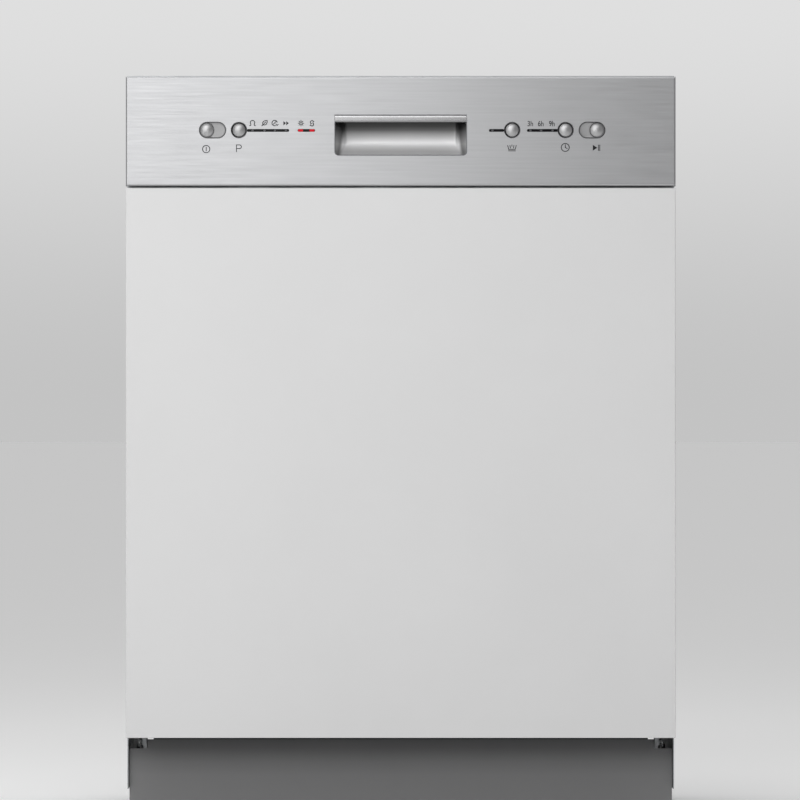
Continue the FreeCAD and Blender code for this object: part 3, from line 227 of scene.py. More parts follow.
def shade_by_height(material, low, high, painted_light_stops):
    """Grey levels from the low to the high height, in metres, painted into the base colour as light and
    shade; returns the ramp and the coordinates.
    """
    coord = add(material, "ShaderNodeTexCoord")
    split = add(material, "ShaderNodeSeparateXYZ")
    ramp = add(material, "ShaderNodeValToRGB")
    for _ in painted_light_stops[2:]:
        ramp.color_ramp.elements.new(0.5)
    for element, (place, grey) in zip(ramp.color_ramp.elements, painted_light_stops):
        element.position = place
        element.color = (grey, grey, grey * 1.01, 1.0)
    link(material, coord.outputs["Object"], split.inputs["Vector"])
    height = map_range(material, split.outputs["Z"], (low, high), (0.0, 1.0))
    link(material, height, ramp.inputs["Fac"])
    link(material, ramp.outputs["Color"], shader(material).inputs["Base Color"])
    return ramp, split


def toe_painted_shade():
    """Dark painted steel, with shade painted into its colour: darker still towards the top, where it runs
    up under the door.
    """
    material = moulded("toe_steel", (0.18, 0.18, 0.183), 0.5, 0.62, 700.0, 0.2, Specular_IOR_Level=0.3)
    # painted shade: the ramp makes the plate darker towards its top, under the door's overhang
    shade_by_height(material, 0.055, 0.095, [(0.0, 0.21), (0.35, 0.18), (0.75, 0.105), (1.0, 0.08)])
    return material


def scoop_painted_light():
    """Silver paint of the handle recess, with shade painted in behind the lip and on the cheeks, which
    slant with height, and a painted highlight band low in the scoop.
    """
    material = metallic_paint("scoop_painted_light", (0.55, 0.55, 0.555), 0.32, 0.42, 0.3)
    # painted light: a bright band low in the scoop, and painted shade above it behind the lip
    painted_light_stops = [(0.0, 0.60), (0.18, 0.66), (0.38, 1.0), (0.60, 0.50), (0.78, 0.12), (0.88, 0.055)]
    ramp, split = shade_by_height(material, 0.728, 0.768, painted_light_stops)
    across = add(material, "ShaderNodeMath")
    across.operation = "ABSOLUTE"
    slant = add(material, "ShaderNodeMath")
    slant.operation = "MULTIPLY_ADD"
    slant.inputs[1].default_value = 0.15
    # painted shade: darker towards the cheeks, along a boundary that slants with height
    cheek = map_range(material, slant.outputs["Value"], (0.1742, 0.1772), (1.0, 0.32))
    shade = add(material, "ShaderNodeVectorMath")
    shade.operation = "MULTIPLY"
    link(material, split.outputs["X"], across.inputs[0])
    link(material, split.outputs["Z"], slant.inputs[0])
    link(material, across.outputs["Value"], slant.inputs[2])
    link(material, ramp.outputs["Color"], shade.inputs[0])
    link(material, cheek, shade.inputs[1])
    link(material, shade.outputs["Vector"], shader(material).inputs["Base Color"])
    return material


def glowing_lens():
    """Clear red lens with a faint glow."""
    return moulded("red_lens", (0.12, 0.0, 0.002), 0.12, 0.22, 900.0, 0.05, Specular_IOR_Level=0.15,
                   Emission_Color=(0.50, 0.0, 0.008, 1.0), Emission_Strength=1.0)


MATERIALS = {
    "decor_laminate": laminate(),
    "fascia_steel": brushed_metal("fascia_steel", (0.432, 0.435, 0.444), 0.31, 0.43, "x", 0.055),
    "lip_metal": brushed_metal("lip_metal", (0.31, 0.31, 0.315), 0.22, 0.28, "x", 0.03),
    "button_metal": rolled_sheet("button_metal", (0.43, 0.43, 0.435), 0.36, 0.44, 120.0),
    "grey_plastic": moulded("grey_plastic", (0.17, 0.175, 0.185), 0.38, 0.5),
    "silver_plastic": metallic_paint("silver_plastic", (0.50, 0.50, 0.505), 0.30, 0.38, 0.3),
    "black_plastic": moulded("black_plastic", (0.010, 0.010, 0.011), 0.42, 0.55, Specular_IOR_Level=0.25),
    "black_window": moulded("black_window", (0.004, 0.004, 0.005), 0.16, 0.22, 900.0, 0.02,
                            Specular_IOR_Level=0.15),
    "red_lens": glowing_lens(),
    "circuit_board": moulded("circuit_board", (0.01, 0.10, 0.035), 0.25, 0.4),
    "stainless_sheet": rolled_sheet("stainless_sheet", (0.58, 0.58, 0.59), 0.14, 0.30),
    "galvanised_sheet": zinc_sheet("galvanised_sheet", (0.46, 0.48, 0.49)),
    "galvanised_parts": zinc_sheet("galvanised_parts", (0.42, 0.43, 0.44)),
    "screw_steel": rolled_sheet("screw_steel", (0.55, 0.55, 0.56), 0.20, 0.34, 200.0),
    "spring_steel": rolled_sheet("spring_steel", (0.30, 0.30, 0.30), 0.28, 0.42, 200.0),
    "gasket_rubber": moulded("gasket_rubber", (0.018, 0.018, 0.02), 0.55, 0.7, 800.0, 0.35),
    "felt": felt_mat(),
    "white_plastic": moulded("white_plastic", (0.62, 0.63, 0.64), 0.34, 0.46),
    "blue_grey_plastic": moulded("blue_grey_plastic", (0.15, 0.185, 0.24), 0.36, 0.48),
    "coated_wire": moulded("coated_wire", (0.34, 0.36, 0.39), 0.24, 0.36, 500.0, 0.2),
    "arm_plastic": moulded("arm_plastic", (0.10, 0.108, 0.12), 0.34, 0.48),
    "toe_steel": toe_painted_shade(),
}


def dress_cad_nodes():
    """Gives every carried-over node its slot's material, smooth curves and crisp edges."""
    slots = {s["node"]: s["material_slot"] for s in frame["record"]["subparts"]}
    for name, node in NODES.items():
        node.data.materials.clear()
        node.data.materials.append(MATERIALS[slots[name]])
        for polygon in node.data.polygons:
            polygon.use_smooth = True
        node.data.set_sharp_from_angle(angle=math.radians(28))


# Mesh helpers

def finish_piece(obj, body, slot, smooth_angle=30.0):
    bpy.context.scene.collection.objects.link(obj)
    obj.data.materials.append(MATERIALS[slot])
    for polygon in obj.data.polygons:
        polygon.use_smooth = True
    obj.data.set_sharp_from_angle(angle=math.radians(smooth_angle))
    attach(obj, body)
    return obj


def mesh_piece(name, vertices, faces, body, slot, smooth_angle=30.0):
    mesh = bpy.data.meshes.new(name)
    mesh.from_pydata(vertices, [], faces)
    mesh.validate()
    mesh.update()
    return finish_piece(bpy.data.objects.new(name, mesh), body, slot, smooth_angle)


# Printed legends on the control fascia

FRONT_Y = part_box("control_fascia")[0].y / MM
INK = 0.04


class Print:
    """Flat ink figures in the fascia plane, in millimetres round a centre."""

    def __init__(self, x, z, scale=1.0, width=0.85):
        self.x, self.z, self.scale, self.width = x, z, scale, width
        self.vertices, self.faces = [], []

    def fill(self, points):
        first = len(self.vertices)
        for px, pz in points:
            place = (self.x + px * self.scale, FRONT_Y - INK, self.z + pz * self.scale)
            self.vertices.append([value * MM for value in place])
        self.faces.append(tuple(range(first, first + len(points))))

    def line(self, points):
        half = self.width / 2 / self.scale
        for (ax, az), (bx, bz) in zip(points, points[1:]):
            length = math.hypot(bx - ax, bz - az)
            ux, uz = (bx - ax) / length * half, (bz - az) / length * half
            self.fill([(ax - ux + uz, az - uz - ux), (bx + ux + uz, bz + uz - ux),
                       (bx + ux - uz, bz + uz + ux), (ax - ux - uz, az - uz + ux)])

    def arc(self, cx, cz, radius, start, end, steps=28):
        self.line([arc_point(cx, cz, radius, start + (end - start) * i / steps) for i in range(steps + 1)])


def arc_point(cx, cz, radius, degrees):
    angle = math.radians(degrees)
    return cx + radius * math.cos(angle), cz + radius * math.sin(angle)


def power_symbol(ink):
    ink.arc(0, 0, 3.9, 0, 360, 40)
    ink.line([(0, -2.0), (0, 2.0)])


def programme_symbol(ink):
    ink.line([(-2.3, 3.7), (-2.3, -3.7)])
    ink.line([(-2.3, 3.7), (1.0, 3.7)])
    ink.arc(1.0, 1.75, 1.95, 90, -90, 14)
    ink.line([(1.0, -0.2), (-2.3, -0.2)])


def cloche_symbol(ink):
    ink.arc(0, 0.7, 2.5, -38, 218, 24)
    ink.line([(1.9, -0.9), (2.1, -2.6), (3.3, -2.8)])
    ink.line([(-1.9, -0.9), (-2.1, -2.6), (-3.3, -2.8)])


def leaf_symbol(ink):
    ink.line([(-3.0, -3.0), (-2.0, -1.9), (-2.2, 0.3), (-1.3, 2.0), (0.6, 2.9), (3.0, 3.1), (3.0, 1.0),
              (2.1, -1.0), (0.4, -2.0), (-2.0, -1.9)])
    ink.line([(-2.0, -1.9), (1.4, 1.4)])


def plate_symbol(ink):
    ink.arc(-0.3, 0.2, 2.9, 20, 285, 24)
    ink.line([(-1.6, -1.0), (1.0, 1.8)])
    ink.line([(0.9, -0.6), (2.2, -2.4), (3.6, -1.2)])


def fast_symbol(ink):
    ink.fill([(-3.0, -2.4), (0.0, 0.0), (-3.0, 2.4)])
    ink.fill([(0.2, -2.4), (3.2, 0.0), (0.2, 2.4)])


def rinse_symbol(ink):
    for i in range(8):
        inner, outer = arc_point(0, 0, 1.3, 45 * i), arc_point(0, 0, 3.1, 45 * i)
        ink.line([inner, outer])


def salt_symbol(ink):
    ink.arc(0, 1.2, 1.9, 20, 250, 16)
    ink.arc(0, -1.4, 1.9, 200, 430, 16)
    ink.fill([(1.0, 3.1), (3.1, 2.4), (1.5, 0.8)])
    ink.fill([(-1.0, -3.3), (-3.1, -2.6), (-1.5, -1.0)])


def half_load_symbol(ink):
    ink.line([(-4.2, 2.2), (-3.2, -1.5), (3.2, -1.5), (4.2, 2.2)])
    ink.line([(-3.3, -3.0), (3.3, -3.0)])
    ink.line([(0, 2.8), (0, 1.5)])
    for x in (-1.5, 1.5):
        ink.line([(x * 1.3, 2.2), (x, -0.2)])


def clock_symbol(ink):
    ink.arc(0, 0, 4.3, 0, 360, 40)
    ink.line([(0, 2.9), (0, 0), (2.0, -1.2)])


def start_symbol(ink):
    ink.fill([(-3.8, -3.0), (0.9, 0.0), (-3.8, 3.0)])
    ink.line([(2.0, -2.8), (2.0, 2.8)])
    ink.line([(3.4, -2.8), (3.4, 2.8)])


def icons():
    places = [(power_symbol, -210.8, 737.4, 1.0), (programme_symbol, -175.7, 738.2, 1.0),
              (cloche_symbol, -160.6, 765.4, 0.95), (leaf_symbol, -147.6, 765.4, 0.95),
              (plate_symbol, -136.3, 765.4, 1.0), (fast_symbol, -124.3, 765.4, 0.95),
              (rinse_symbol, -108.1, 765.4, 0.95), (salt_symbol, -96.2, 765.4, 0.9),
              (half_load_symbol, 120.5, 738.8, 1.1), (clock_symbol, 178.3, 739.2, 1.0),
              (start_symbol, 212.1, 738.8, 1.05)]
    vertices, faces = [], []
    for draw, x, z, scale in places:
        ink = Print(x, z, scale)
        draw(ink)
        faces += [tuple(i + len(vertices) for i in face) for face in ink.faces]
        vertices += ink.vertices
    mesh_piece("fascia_icons", vertices, faces, "door", "black_plastic")


def lettering():
    size, z, narrow = 8.0, 764.7, 0.82
    for i, (word, x) in enumerate([("3h", 140.4), ("6h", 151.8), ("9h", 163.8)]):
        curve = bpy.data.curves.new("word", "FONT")
        curve.body = word
        curve.size = size * MM
        curve.offset = 0.12 * MM
        curve.align_x = "CENTER"
        curve.align_y = "CENTER"
        holder = bpy.data.objects.new("word", curve)
        bpy.context.scene.collection.objects.link(holder)
        bpy.context.view_layer.update()
        evaluated = holder.evaluated_get(bpy.context.evaluated_depsgraph_get())
        mesh = bpy.data.meshes.new_from_object(evaluated)
        bpy.data.objects.remove(holder)
        place = Matrix.Translation((x * MM, (FRONT_Y - INK) * MM, z * MM))
        upright = Matrix.Rotation(math.radians(90.0), 4, "X")
        mesh.transform(place @ upright @ Matrix.Diagonal((narrow, 1, 1, 1)))
        finish_piece(bpy.data.objects.new(f"fascia_letter_{i}", mesh), "door", "black_plastic")


# Wire racks: bent, welded and coated wires

RIM, WIRE = 2.8, 2.2


def rounded_path(points, radius, closed=False, steps=6):
    """Polyline whose corners are replaced by arcs; millimetres in, millimetres out."""
    count = len(points)
    corners = [Vector(p) for p in points]
    path = []
    for i in range(count):
        if not closed and i in (0, count - 1):
            path.append(corners[i])
            continue
        corner = corners[i]
        before = corners[i - 1] - corner
        after = corners[(i + 1) % count] - corner
        angle = before.angle(after)
        reach = min(radius / math.tan(angle / 2), before.length * 0.49, after.length * 0.49)
        bend = reach * math.tan(angle / 2)
        middle = (before.normalized() + after.normalized()).normalized() * (bend / math.sin(angle / 2))
        centre = corner + middle
        start = corner + before.normalized() * reach - centre
        stop = corner + after.normalized() * reach - centre
        sweep = start.angle(stop)
        for j in range(steps + 1):
            t = j / steps
            blend = (start * math.sin((1 - t) * sweep) + stop * math.sin(t * sweep)) / math.sin(sweep)
            path.append(centre + blend)
    return path


def wire_piece(name, body, slot, wires, stand_for=()):
    """One curve object from (points, radius, closed) wires in millimetres."""
    curve = bpy.data.curves.new(name, "CURVE")
    curve.dimensions = "3D"
    curve.bevel_depth = MM
    curve.bevel_resolution = 3
    curve.use_fill_caps = True
    for points, radius, closed in wires:
        spline = curve.splines.new("POLY")
        spline.points.add(len(points) - 1)
        for target, point in zip(spline.points, points):
            target.co = (point[0] * MM, point[1] * MM, point[2] * MM, 1.0)
            target.radius = radius
        spline.use_cyclic_u = closed
        spline.use_smooth = True
    obj = bpy.data.objects.new(name, curve)
    bpy.context.scene.collection.objects.link(obj)
    curve.materials.append(MATERIALS[slot])
    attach(obj, body)
    if stand_for:
        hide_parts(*stand_for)
    return obj


def spaced(first, last, count):
    return [first + (last - first) * i / (count - 1) for i in range(count)]


def rim_wire(half_w, y0, y1, z, radius, corner=20.0):
    points = [(-half_w, y0, z), (half_w, y0, z), (half_w, y1, z), (-half_w, y1, z)]
    return rounded_path(points, corner, True, 8), radius, True


def prong(x, y, foot, top, lean, radius=1.9):
    """Upright prong that leans a little and ends in a rounded tip."""
    points = [(x, y, foot), (x, y, foot + 8), (x + lean, y, top)]
    return rounded_path(points, 6.0), radius, False


def rack_frame(node):
    """Top rim of a rack, with the span of its wires inside it: half width, front, back, floor and top."""
    low, high = (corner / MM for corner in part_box(node))
    half, y0, y1 = high.x - RIM, low.y + RIM, high.y - RIM
    floor, top = low.z + WIRE, high.z - RIM
    rim = rim_wire(half, y0, y1, top, RIM)
    return rim, half - RIM - WIRE, y0 + RIM + WIRE, y1 - RIM - WIRE, floor, top


def cross_wires(inset, rows, floor, top):
    """Wires that run from side to side on top of the floor wires, up to the rim at both ends."""
    wires, foot = [], floor + 2 * WIRE
    for y in rows:
        path = [(-inset, y, top), (-inset, y, foot), (inset, y, foot), (inset, y, top)]
        wires.append((rounded_path(path, 16.0), WIRE, False))
    return wires


def upper_wires():
    rim, inset, front, back, floor, top = rack_frame("upper_rack")
    waist = rim_wire(inset + WIRE * 2, front - WIRE * 2, back + WIRE * 2, floor + 62, WIRE, 16.0)
    wires = [rim, waist]
    for x in spaced(-inset + 4 * WIRE, inset - 4 * WIRE, 13):
        path = [(x, front, top), (x, front, floor), (x, back, floor), (x, back, top)]
        wires.append((rounded_path(path, 14.0), WIRE, False))
    wires += cross_wires(inset, spaced(front + 30, back - 30, 11), floor, top)
    for x, lean in ((-150, -7), (-50, 7), (50, -7), (150, 7)):
        for y in spaced(front + 47, back - 47, 10):
            wires.append(prong(x, y, floor + 2 * WIRE, floor + 58, lean))
    return wires


def lower_wires():
    """Sloping front that leaves room for the dispenser, and no prongs where the cutlery basket stands."""
    rim, inset, front, back, floor, top = rack_frame("lower_rack")
    sill_y, sill_z = -112.0, 242.0
    wires = [rim]
    for x in spaced(-inset + 4 * WIRE, inset - 4 * WIRE, 12):
        path = [(x, front, top), (x, front, sill_z), (x, sill_y, floor), (x, back, floor), (x, back, top)]
        wires.append((rounded_path(path, 16.0), WIRE, False))
    rows = spaced(sill_y + 14, back - 30, 10)
    wires += cross_wires(inset, rows, floor, top)
    for x in (-190, -110, -30, 50, 130):
        for y in rows:
            basket_stands_here = x >= 100 and y <= 120
            if not basket_stands_here:
                wires.append(prong(x, y, floor + 2 * WIRE, floor + 84, -6))
    return wires


def racks():
    wire_piece("upper_rack_wires", "upper_basket", "coated_wire", upper_wires(), ("upper_rack",))
    wire_piece("lower_rack_wires", "lower_basket", "coated_wire", lower_wires(), ("lower_rack",))


# Controls, handle and other round or pressed pieces

BUTTONS = ("power_button", "programme_button", "half_load_button", "delay_button", "start_button")
PILLS = {"power_button": (-218.7, -189.1), "start_button": (192.8, 221.8)}
PILL_HALF_H = 9.1
COLLAR_SECTION = [(8.85, 13.0), (8.85, 0.1), (8.6, -0.25), (8.1, -0.1),
                  (7.75, 0.6), (7.65, 1.6), (7.65, 11.0), (8.4, 13.0)]
SHADE_SECTION = [(8.2, 2.3), (8.2, 1.3), (8.0, 1.0), (7.7, 1.1), (7.65, 2.3)]
RIM_SECTION = [(0.0, 13.0), (0.0, 0.1), (0.2, -0.2), (0.6, -0.2), (0.85, 0.5), (0.85, 13.0)]
DISH_SECTION = [(0.9, 13.0), (0.9, 0.35), (1.05, 0.95), (1.4, 1.5), (2.1, 1.8), (4.0, 1.95), (8.8, 2.0)]
WINDOW_Z = 757.6
LENS_X = (-160.6, -147.6, -136.3, -124.3, 99.4, 140.6, 152.2, 164.6)
RECESS_HALF_W, RECESS_Z0, LIP_Z0, LIP_Z1 = 71.5, 730.7, 766.7, 774.5
SCOOP_FRONT, SCOOP_DEPTH = -283.2, 26.0
REAR_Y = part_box("rear_panel")[1].y / MM


def turned_rings(centre, outline, steps):
    """Circles of vertices about an axis along Y; outline is (radius, y) pairs in millimetres."""
    vertices = []
    for radius, y in outline:
        for i in range(steps):
            a = 2 * math.pi * i / steps
            place = (centre[0] + radius * math.cos(a), y, centre[1] + radius * math.sin(a))
            vertices.append([value * MM for value in place])
    return vertices


def lathe(name, body, slot, centre, outline, steps=64, stand_for=(), smooth_angle=35.0):
    """Solid turned about an axis along Y, with its outline given from front to back."""
    vertices, faces = turned_rings(centre, outline, steps), []
    for ring in range(len(outline) - 1):
        for i in range(steps):
            j = (i + 1) % steps
            a, b = ring * steps + i, ring * steps + j
            faces.append((a, b, b + steps, a + steps))
    for ring, flip in ((0, True), (len(outline) - 1, False)):
        loop = [ring * steps + i for i in range(steps)]
        faces.append(tuple(reversed(loop)) if flip else tuple(loop))
    piece = mesh_piece(name, vertices, faces, body, slot, smooth_angle)
    if stand_for:
        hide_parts(*stand_for)
    return piece


def button_outline(front):
    """Satin cap with a full dome and a soft edge, then its stem."""
    dome, turn, bend = 11.9, 6.8, 0.5
    outline = []
    for i in range(1, 17):
        r = turn * i / 16
        outline.append((r, front + dome - math.sqrt(dome ** 2 - r ** 2)))
    edge = outline[-1][1]
    for degrees in (30, 60, 90):
        a = math.radians(degrees)
        outline.append((turn + bend * math.sin(a), edge + bend * 1.4 * (1 - math.cos(a))))
    return outline + [(turn + bend, front + 9.0), (3.0, front + 9.0), (3.0, front + 20.5)]


def push_buttons():
    for node in BUTTONS:
        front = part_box(node)[0].y / MM
        lathe(node + "_cap", node, "button_metal", centre_of(node), button_outline(front), 72, (node,))


def centre_of(node):
    low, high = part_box(node)
    return (low.x + high.x) / 2 / MM, (low.z + high.z) / 2 / MM


def behind(y, section):
    """Turns (radius, depth) steps behind a face into the outline of a round piece."""
    return [(radius, y + depth) for radius, depth in section]


def ring_piece(name, centre, outline, slot, steps=72):
    """Closed ring turned about an axis along Y."""
    vertices, faces = turned_rings(centre, outline, steps), []
    for ring in range(len(outline)):
        after = (ring + 1) % len(outline)
        for i in range(steps):
            j = (i + 1) % steps
            faces.append((ring * steps + i, after * steps + i, after * steps + j, ring * steps + j))
    return mesh_piece(name, vertices, faces, "door", slot, 35.0)


def pill_loop(x0, x1, z, half_h, inset, y, steps=20):
    """Round-ended outline, drawn in by inset, at one depth."""
    loop = []
    for cx, first in ((x1 - half_h, -90), (x0 + half_h, 90)):
        for i in range(steps + 1):
            px, pz = arc_point(cx, z, half_h - inset, first + 180 * i / steps)
            loop.append((px * MM, y * MM, pz * MM))
    return loop


def pill_piece(name, span, z, section, slot, closed_ring):
    """Round-ended piece built from (inset, depth) steps: a closed ring, or a dish with two caps."""
    loops = [pill_loop(*span, z, PILL_HALF_H, inset, FRONT_Y + depth) for inset, depth in section]
    size, count = len(loops[0]), len(loops)
    faces = []
    for ring in range(count if closed_ring else count - 1):
        after = (ring + 1) % count
        for i in range(size):
            j = (i + 1) % size
            faces.append((ring * size + j, after * size + j, after * size + i, ring * size + i))
    if not closed_ring:
        faces.append(tuple(range(size)))
        faces.append(tuple(reversed(range((count - 1) * size, count * size))))
    return mesh_piece(name, [v for loop in loops for v in loop], faces, "door", slot, 35.0)


def bezels():
    """Rings and dishes round the caps, in the place of the plain ones; the rings' dark colour stands partly
    for painted shade in the gaps round the caps.
    """
    dark_chrome_and_gap_shade = metallic_paint("dark_chrome_and_gap_shade", (0.085, 0.085, 0.09), 0.26, 0.36)
    dish_paint = metallic_paint("dish_paint", (0.33, 0.33, 0.335), 0.30, 0.40, 0.25)
    pieces = []
    for node in BUTTONS[1:4]:
        collar = behind(FRONT_Y, COLLAR_SECTION)
        pieces.append(ring_piece(node + "_collar", centre_of(node), collar, "black_plastic"))
    for node, span in PILLS.items():
        centre = centre_of(node)
        dish = pill_piece(node + "_dish", span, centre[1], DISH_SECTION, "silver_plastic", False)
        dish.data.materials[0] = dish_paint
        pieces.append(pill_piece(node + "_rim", span, centre[1], RIM_SECTION, "black_plastic", True))
        collar = behind(FRONT_Y, SHADE_SECTION)
        pieces.append(ring_piece(node + "_collar", centre, collar, "black_plastic"))
    # partly painted shade: the dark rings and rims stand in part for the shade in the gaps round the caps
    for piece in pieces:
        piece.data.materials[0] = dark_chrome_and_gap_shade
    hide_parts("button_bezels")


def lip_width(y):
    """Half width of the handle lip at a depth: it narrows by 4 mm in 9.5 mm, along the cheeks."""
    return RECESS_HALF_W - 0.1 - max(0.0, y - FRONT_Y) * 4.0 / 9.5


def handle_lip():
    """Rounded bar across the top of the recess, brightest along its upper edge."""
    low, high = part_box("handle_lip")
    z0, z1, back = low.z / MM, high.z / MM, high.y / MM
    front = FRONT_Y - 0.5
    tilts = [math.radians(-14 + 40 * i / 18) for i in range(19)]
    radius = (z1 - 0.1 - z0) / (math.sin(tilts[-1]) - math.sin(tilts[0]))
    profile = [(front + radius * (1 - math.cos(a)), z0 + radius * (math.sin(a) - math.sin(tilts[0])))
               for a in tilts]
    profile += [(back, z1 - 0.1), (back, z0), (front + 0.7, z0)]
    vertices = [(side * lip_width(y) * MM, y * MM, z * MM) for side in (-1, 1) for y, z in profile]
    size = len(profile)
    faces = [(i, (i + 1) % size, size + (i + 1) % size, size + i) for i in range(size)]
    faces += [tuple(reversed(range(size))), tuple(range(size, 2 * size))]
    piece = mesh_piece("handle_lip_bar", vertices, faces, "door", "lip_metal", 30.0)
    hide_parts("handle_lip")


def cup_section():
    """Side view of the recess: a quarter ellipse from the lower edge, then up and over behind the lip."""
    front, deep, centre_z, tall = SCOOP_FRONT, SCOOP_DEPTH, 750.0, 19.4
    section = []
    for i in range(25):
        a = math.radians(90 * i / 24)
        section.append((front + deep * math.sin(a), centre_z - tall * math.cos(a)))
    back, top, near = front + deep, 784.5, -273.6
    section += [(back, z) for z in (754.0, 759.0, 764.0, 769.0, 774.0)]
    section += [arc_point(back - 5, top - 5, 5, a) for a in (0, 22, 45, 67, 90)]
    section += [arc_point(near + 4, top - 4, 4, a) for a in (90, 112, 135, 157, 180)]
    return section + [(near, 776.5)]


def cup_half_width(y):
    """Half width of the recess at a depth: the cheeks close in by 11 mm in 26.5 mm."""
    return 71.3 - max(0.0, y - SCOOP_FRONT) * 11.0 / 26.5


def handle_cup():
    """Pressed scoop with slanted cheeks that run softly into its back."""
    vertices, faces, section = [], [], cup_section()
    for y, z in section:
        half, edge, wide = cup_half_width(y), SCOOP_FRONT - 0.1, RECESS_HALF_W - 0.15
        deep = max(y, edge + 0.4)
        path = [(-wide, edge, z), (-half, deep, z), (half, deep, z), (wide, edge, z)]
        if z > LIP_Z0:
            path[0] = (-half - 0.6, deep - 1.4, z)
            path[3] = (half + 0.6, deep - 1.4, z)
        row = rounded_path(path, 4.0, steps=7)
        vertices += [v * MM for v in row]
    width = len(vertices) // len(section)
    for i in range(len(section) - 1):
        for j in range(width - 1):
            a = i * width + j
            faces.append((a, a + 1, a + width + 1, a + width))
    piece = mesh_piece("handle_scoop", vertices, faces, "door", "silver_plastic", 60.0)
    shell = piece.modifiers.new("wall", "SOLIDIFY")
    shell.thickness = 1.3 * MM
    shell.offset = -1.0
    # the scoop's material carries painted shade and a painted highlight
    piece.data.materials[0] = scoop_painted_light()
    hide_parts("handle_cup")


def recess_rim():
    """Thin grey edge round the handle recess and its lip, rounded at the two lower corners."""
    half, foot, top, y = RECESS_HALF_W, RECESS_Z0, LIP_Z1, FRONT_Y + 0.1
    path = rounded_path([(-half, y, top), (-half, y, foot), (half, y, foot), (half, y, top)], 4.0, False, 8)
    wire_piece("recess_rim", "door", "grey_plastic", [(path, 0.5, True)])


def status_lenses():
    """Small unlit lenses behind the black windows."""
    dim = moulded("dim_lens", (0.075, 0.075, 0.08), 0.3, 0.4, 900.0, 0.05, Specular_IOR_Level=0.2)
    outline = behind(FRONT_Y, [(0.25, -0.02), (0.8, 0.0), (1.2, 0.06), (1.3, 0.4)])
    for i, x in enumerate(LENS_X):
        lens = lathe(f"status_lens_{i}", "door", "black_window", (x, WINDOW_Z), outline, 24)
        lens.data.materials[0] = dim


def raised_plate(name, x0, x1, z0, z1, corner, section, slot):
    """Rounded plate standing out of the back: section holds (inset, distance behind the panel) steps."""
    vertices, faces = [], []
    centres = ((x1 - corner, z1 - corner, 0), (x0 + corner, z1 - corner, 90),
               (x0 + corner, z0 + corner, 180), (x1 - corner, z0 + corner, 270))
    for inset, depth in section:
        for cx, cz, first in centres:
            for i in range(9):
                px, pz = arc_point(cx, cz, corner - inset, first + 90 * i / 8)
                vertices.append((px * MM, (REAR_Y + depth) * MM, pz * MM))
    size = len(vertices) // len(section)
    for ring in range(len(section) - 1):
        for i in range(size):
            j = (i + 1) % size
            faces.append((ring * size + i, ring * size + j, (ring + 1) * size + j, (ring + 1) * size + i))
    faces.append(tuple(reversed(range(size))))
    faces.append(tuple(range((len(section) - 1) * size, len(section) * size)))
    return mesh_piece(name, vertices, faces, "cabinet", slot, 40.0)


def rear_details():
    """Pressed beads, panel screws and an unprinted type plate on the back."""
    bead = [(0.0, -0.4), (0.3, 0.2), (1.2, 0.9), (2.6, 1.5), (4.2, 1.7)]
    for i, z in enumerate((264.0, 424.0, 584.0, 744.0)):
        raised_plate(f"rear_bead_{i}", -220.0, 220.0, z - 7, z + 7, 6.9, bead, "galvanised_sheet")
    plate = [(0.0, -0.3), (0.0, 0.25), (0.15, 0.4)]
    raised_plate("type_plate", 216.0, 272.0, 160.0, 196.0, 3.0, plate, "white_plastic")
    screw = behind(REAR_Y, [(3.9, -0.4), (3.9, 0.7), (3.3, 1.6), (1.9, 2.0), (1.6, 1.2), (0.3, 1.2)])
    for side, x in (("left", -288.0), ("right", 288.0)):
        for i, z in enumerate((160.0, 370.0, 580.0, 790.0)):
            lathe(f"rear_screw_{side}_{i}", "cabinet", "screw_steel", (x, z), screw, 32)


def tube_mesh(points, radius, sides=8):
    """Vertices and faces of a round tube along a path."""
    vertices, faces = [], []
    normal = (points[1] - points[0]).orthogonal().normalized()
    for i, point in enumerate(points):
        ahead = points[min(i + 1, len(points) - 1)] - points[max(i - 1, 0)]
        tangent = ahead.normalized()
        normal = (normal - tangent * normal.dot(tangent)).normalized()
        side = tangent.cross(normal)
        for j in range(sides):
            a = 2 * math.pi * j / sides
            vertices.append(point + (normal * math.cos(a) + side * math.sin(a)) * radius)
    for i in range(len(points) - 1):
        for j in range(sides):
            k = (j + 1) % sides
            faces.append((i * sides + j, i * sides + k, (i + 1) * sides + k, (i + 1) * sides + j))
    faces.append(tuple(reversed(range(sides))))
    faces.append(tuple(range((len(points) - 1) * sides, len(points) * sides)))
    return vertices, faces


SPRING_X, SPRING_HOOK, SPRING_ANCHOR = 285.2, (-200.0, 90.0), (45.0, 60.0)


def door_spring(side):
    """Coil between two hooks; it stretches from the fixed anchor to the lever of the door arm."""
    hook, anchor = (Vector((side * SPRING_X, y, z)) for y, z in (SPRING_HOOK, SPRING_ANCHOR))
    along = (anchor - hook).normalized()
    across = Vector((0.0, -along.z, along.y))
    outward = Vector((1.0, 0.0, 0.0))
    length = (anchor - hook).length
    loop, coil, turns, steps, wire = 5.3, 7.0, 30, 14, 1.1

    def end_loop(centre, first_angle):
        angles = [math.radians(first_angle - 340 * i / 20) for i in range(21)]
        return [centre + (along * math.cos(a) + across * math.sin(a)) * loop for a in angles]

    points = end_loop(hook, 180)
    first, last = length * 0.29, length * 0.71
    for i in range(turns * steps + 1):
        a = 2 * math.pi * i / steps
        reach = first + (last - first) * i / (turns * steps)
        points.append(hook + along * reach + (across * math.cos(a) + outward * math.sin(a)) * coil)
    points += end_loop(anchor, 160)
    vertices, faces = tube_mesh([p * MM for p in points], wire * MM)
    mesh = bpy.data.meshes.new("door_spring")
    mesh.from_pydata(vertices, [], faces)
    spring = bpy.data.objects.new("door_spring_" + ("right" if side > 0 else "left"), mesh)
    bpy.context.scene.collection.objects.link(spring)
    mesh.materials.append(MATERIALS["spring_steel"])
    for polygon in mesh.polygons:
        polygon.use_smooth = True
    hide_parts("door_springs")
    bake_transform(spring)


# Stage, light and camera

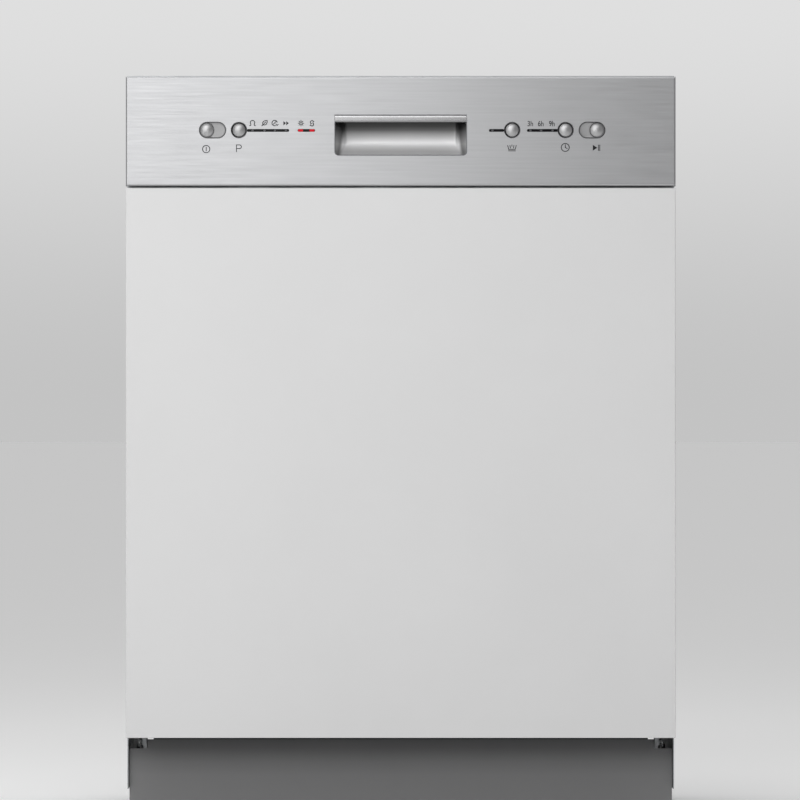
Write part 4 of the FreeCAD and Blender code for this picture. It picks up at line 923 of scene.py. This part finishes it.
def stage_floor():
    """Matt white floor, lifted a little by a glow of its own."""
    material = new_material("stage_floor")
    set_base(material, (0.92, 0.92, 0.92), 0.0, Specular_IOR_Level=0.1,
             Emission_Color=(1.0, 1.0, 1.0, 1.0), Emission_Strength=0.10)
    broad = mapped_noise(material, 1.2, 3.0)
    vary_roughness(material, broad, 0.8, 0.95)
    bpy.ops.mesh.primitive_circle_add(vertices=128, radius=60.0, fill_type="NGON")
    floor = bpy.context.object
    floor.name = "stage_floor"
    floor.data.materials.append(material)


def area_light(name, place, target, size, power, colour=(1.0, 1.0, 1.0)):
    light = bpy.data.lights.new(name, "AREA")
    light.shape = "RECTANGLE"
    light.size, light.size_y = size
    light.energy = power
    light.color = colour
    holder = bpy.data.objects.new(name, light)
    holder.location = place
    holder.rotation_euler = (Vector(target) - Vector(place)).to_track_quat("-Z", "Y").to_euler()
    holder.visible_camera = False
    bpy.context.scene.collection.objects.link(holder)


def surroundings():
    """Pale world, brighter behind the object, that meets the floor in the floor's own tone."""
    world = bpy.data.worlds.new("studio")
    world.use_nodes = True
    coord = add(world, "ShaderNodeTexCoord")
    split = add(world, "ShaderNodeSeparateXYZ")
    link(world, coord.outputs["Generated"], split.inputs["Vector"])
    depth = map_range(world, split.outputs["Y"], (-1.0, 0.9), (0.22, 0.74))
    haze = map_range(world, split.outputs["Z"], (0.0, 0.07), (0.74, 1.0))
    haze.node.interpolation_type = "SMOOTHSTEP"
    both = add(world, "ShaderNodeMath")
    both.operation = "MULTIPLY"
    link(world, depth, both.inputs[0])
    link(world, haze, both.inputs[1])
    background = world.node_tree.nodes["Background"]
    link(world, both.outputs["Value"], background.inputs["Strength"])
    background.inputs["Color"].default_value = (1.0, 1.0, 1.0, 1.0)
    bpy.context.scene.world = world


def studio():
    """One large soft box in front on the left, one high in front and one above."""
    surroundings()
    area_light("key", (-0.78, -1.95, 1.35), (-0.62, -0.28, 1.0), (1.7, 1.8), 18.0, (1.0, 0.998, 0.994))
    area_light("high", (-0.1, -2.1, 2.35), (0.0, -0.28, 0.75), (2.0, 0.7), 9.0)
    area_light("top", (-0.2, 0.1, 2.8), (0.0, 0.0, 0.8), (2.0, 1.6), 12.0)


VIEW_CENTRE = Vector((-0.0008, -0.2835, 0.4655))
VIEW_WIDTH = 0.8669
VIEW_DISTANCE = 6.5
SENSOR = 36.0


def front_camera():
    """Long lens square to the front, as wide as VIEW_WIDTH at the fascia."""
    data = bpy.data.cameras.new("front_camera")
    data.sensor_width = SENSOR
    data.lens = SENSOR * VIEW_DISTANCE / VIEW_WIDTH
    camera = bpy.data.objects.new("front_camera", data)
    camera.location = VIEW_CENTRE + Vector((0.0, -VIEW_DISTANCE, 0.0))
    camera.rotation_euler = (math.radians(90.0), 0.0, 0.0)
    bpy.context.scene.collection.objects.link(camera)
    bpy.context.scene.camera = camera
    data.clip_end = 100.0


# Build

dress_cad_nodes()
icons()
lettering()
racks()
push_buttons()
bezels()
handle_lip()
handle_cup()
recess_rim()
status_lenses()
rear_details()
for spring_side in (-1, 1):
    door_spring(spring_side)
stage_floor()
studio()
front_camera()
bpy.context.scene.view_settings.view_transform = "Standard"
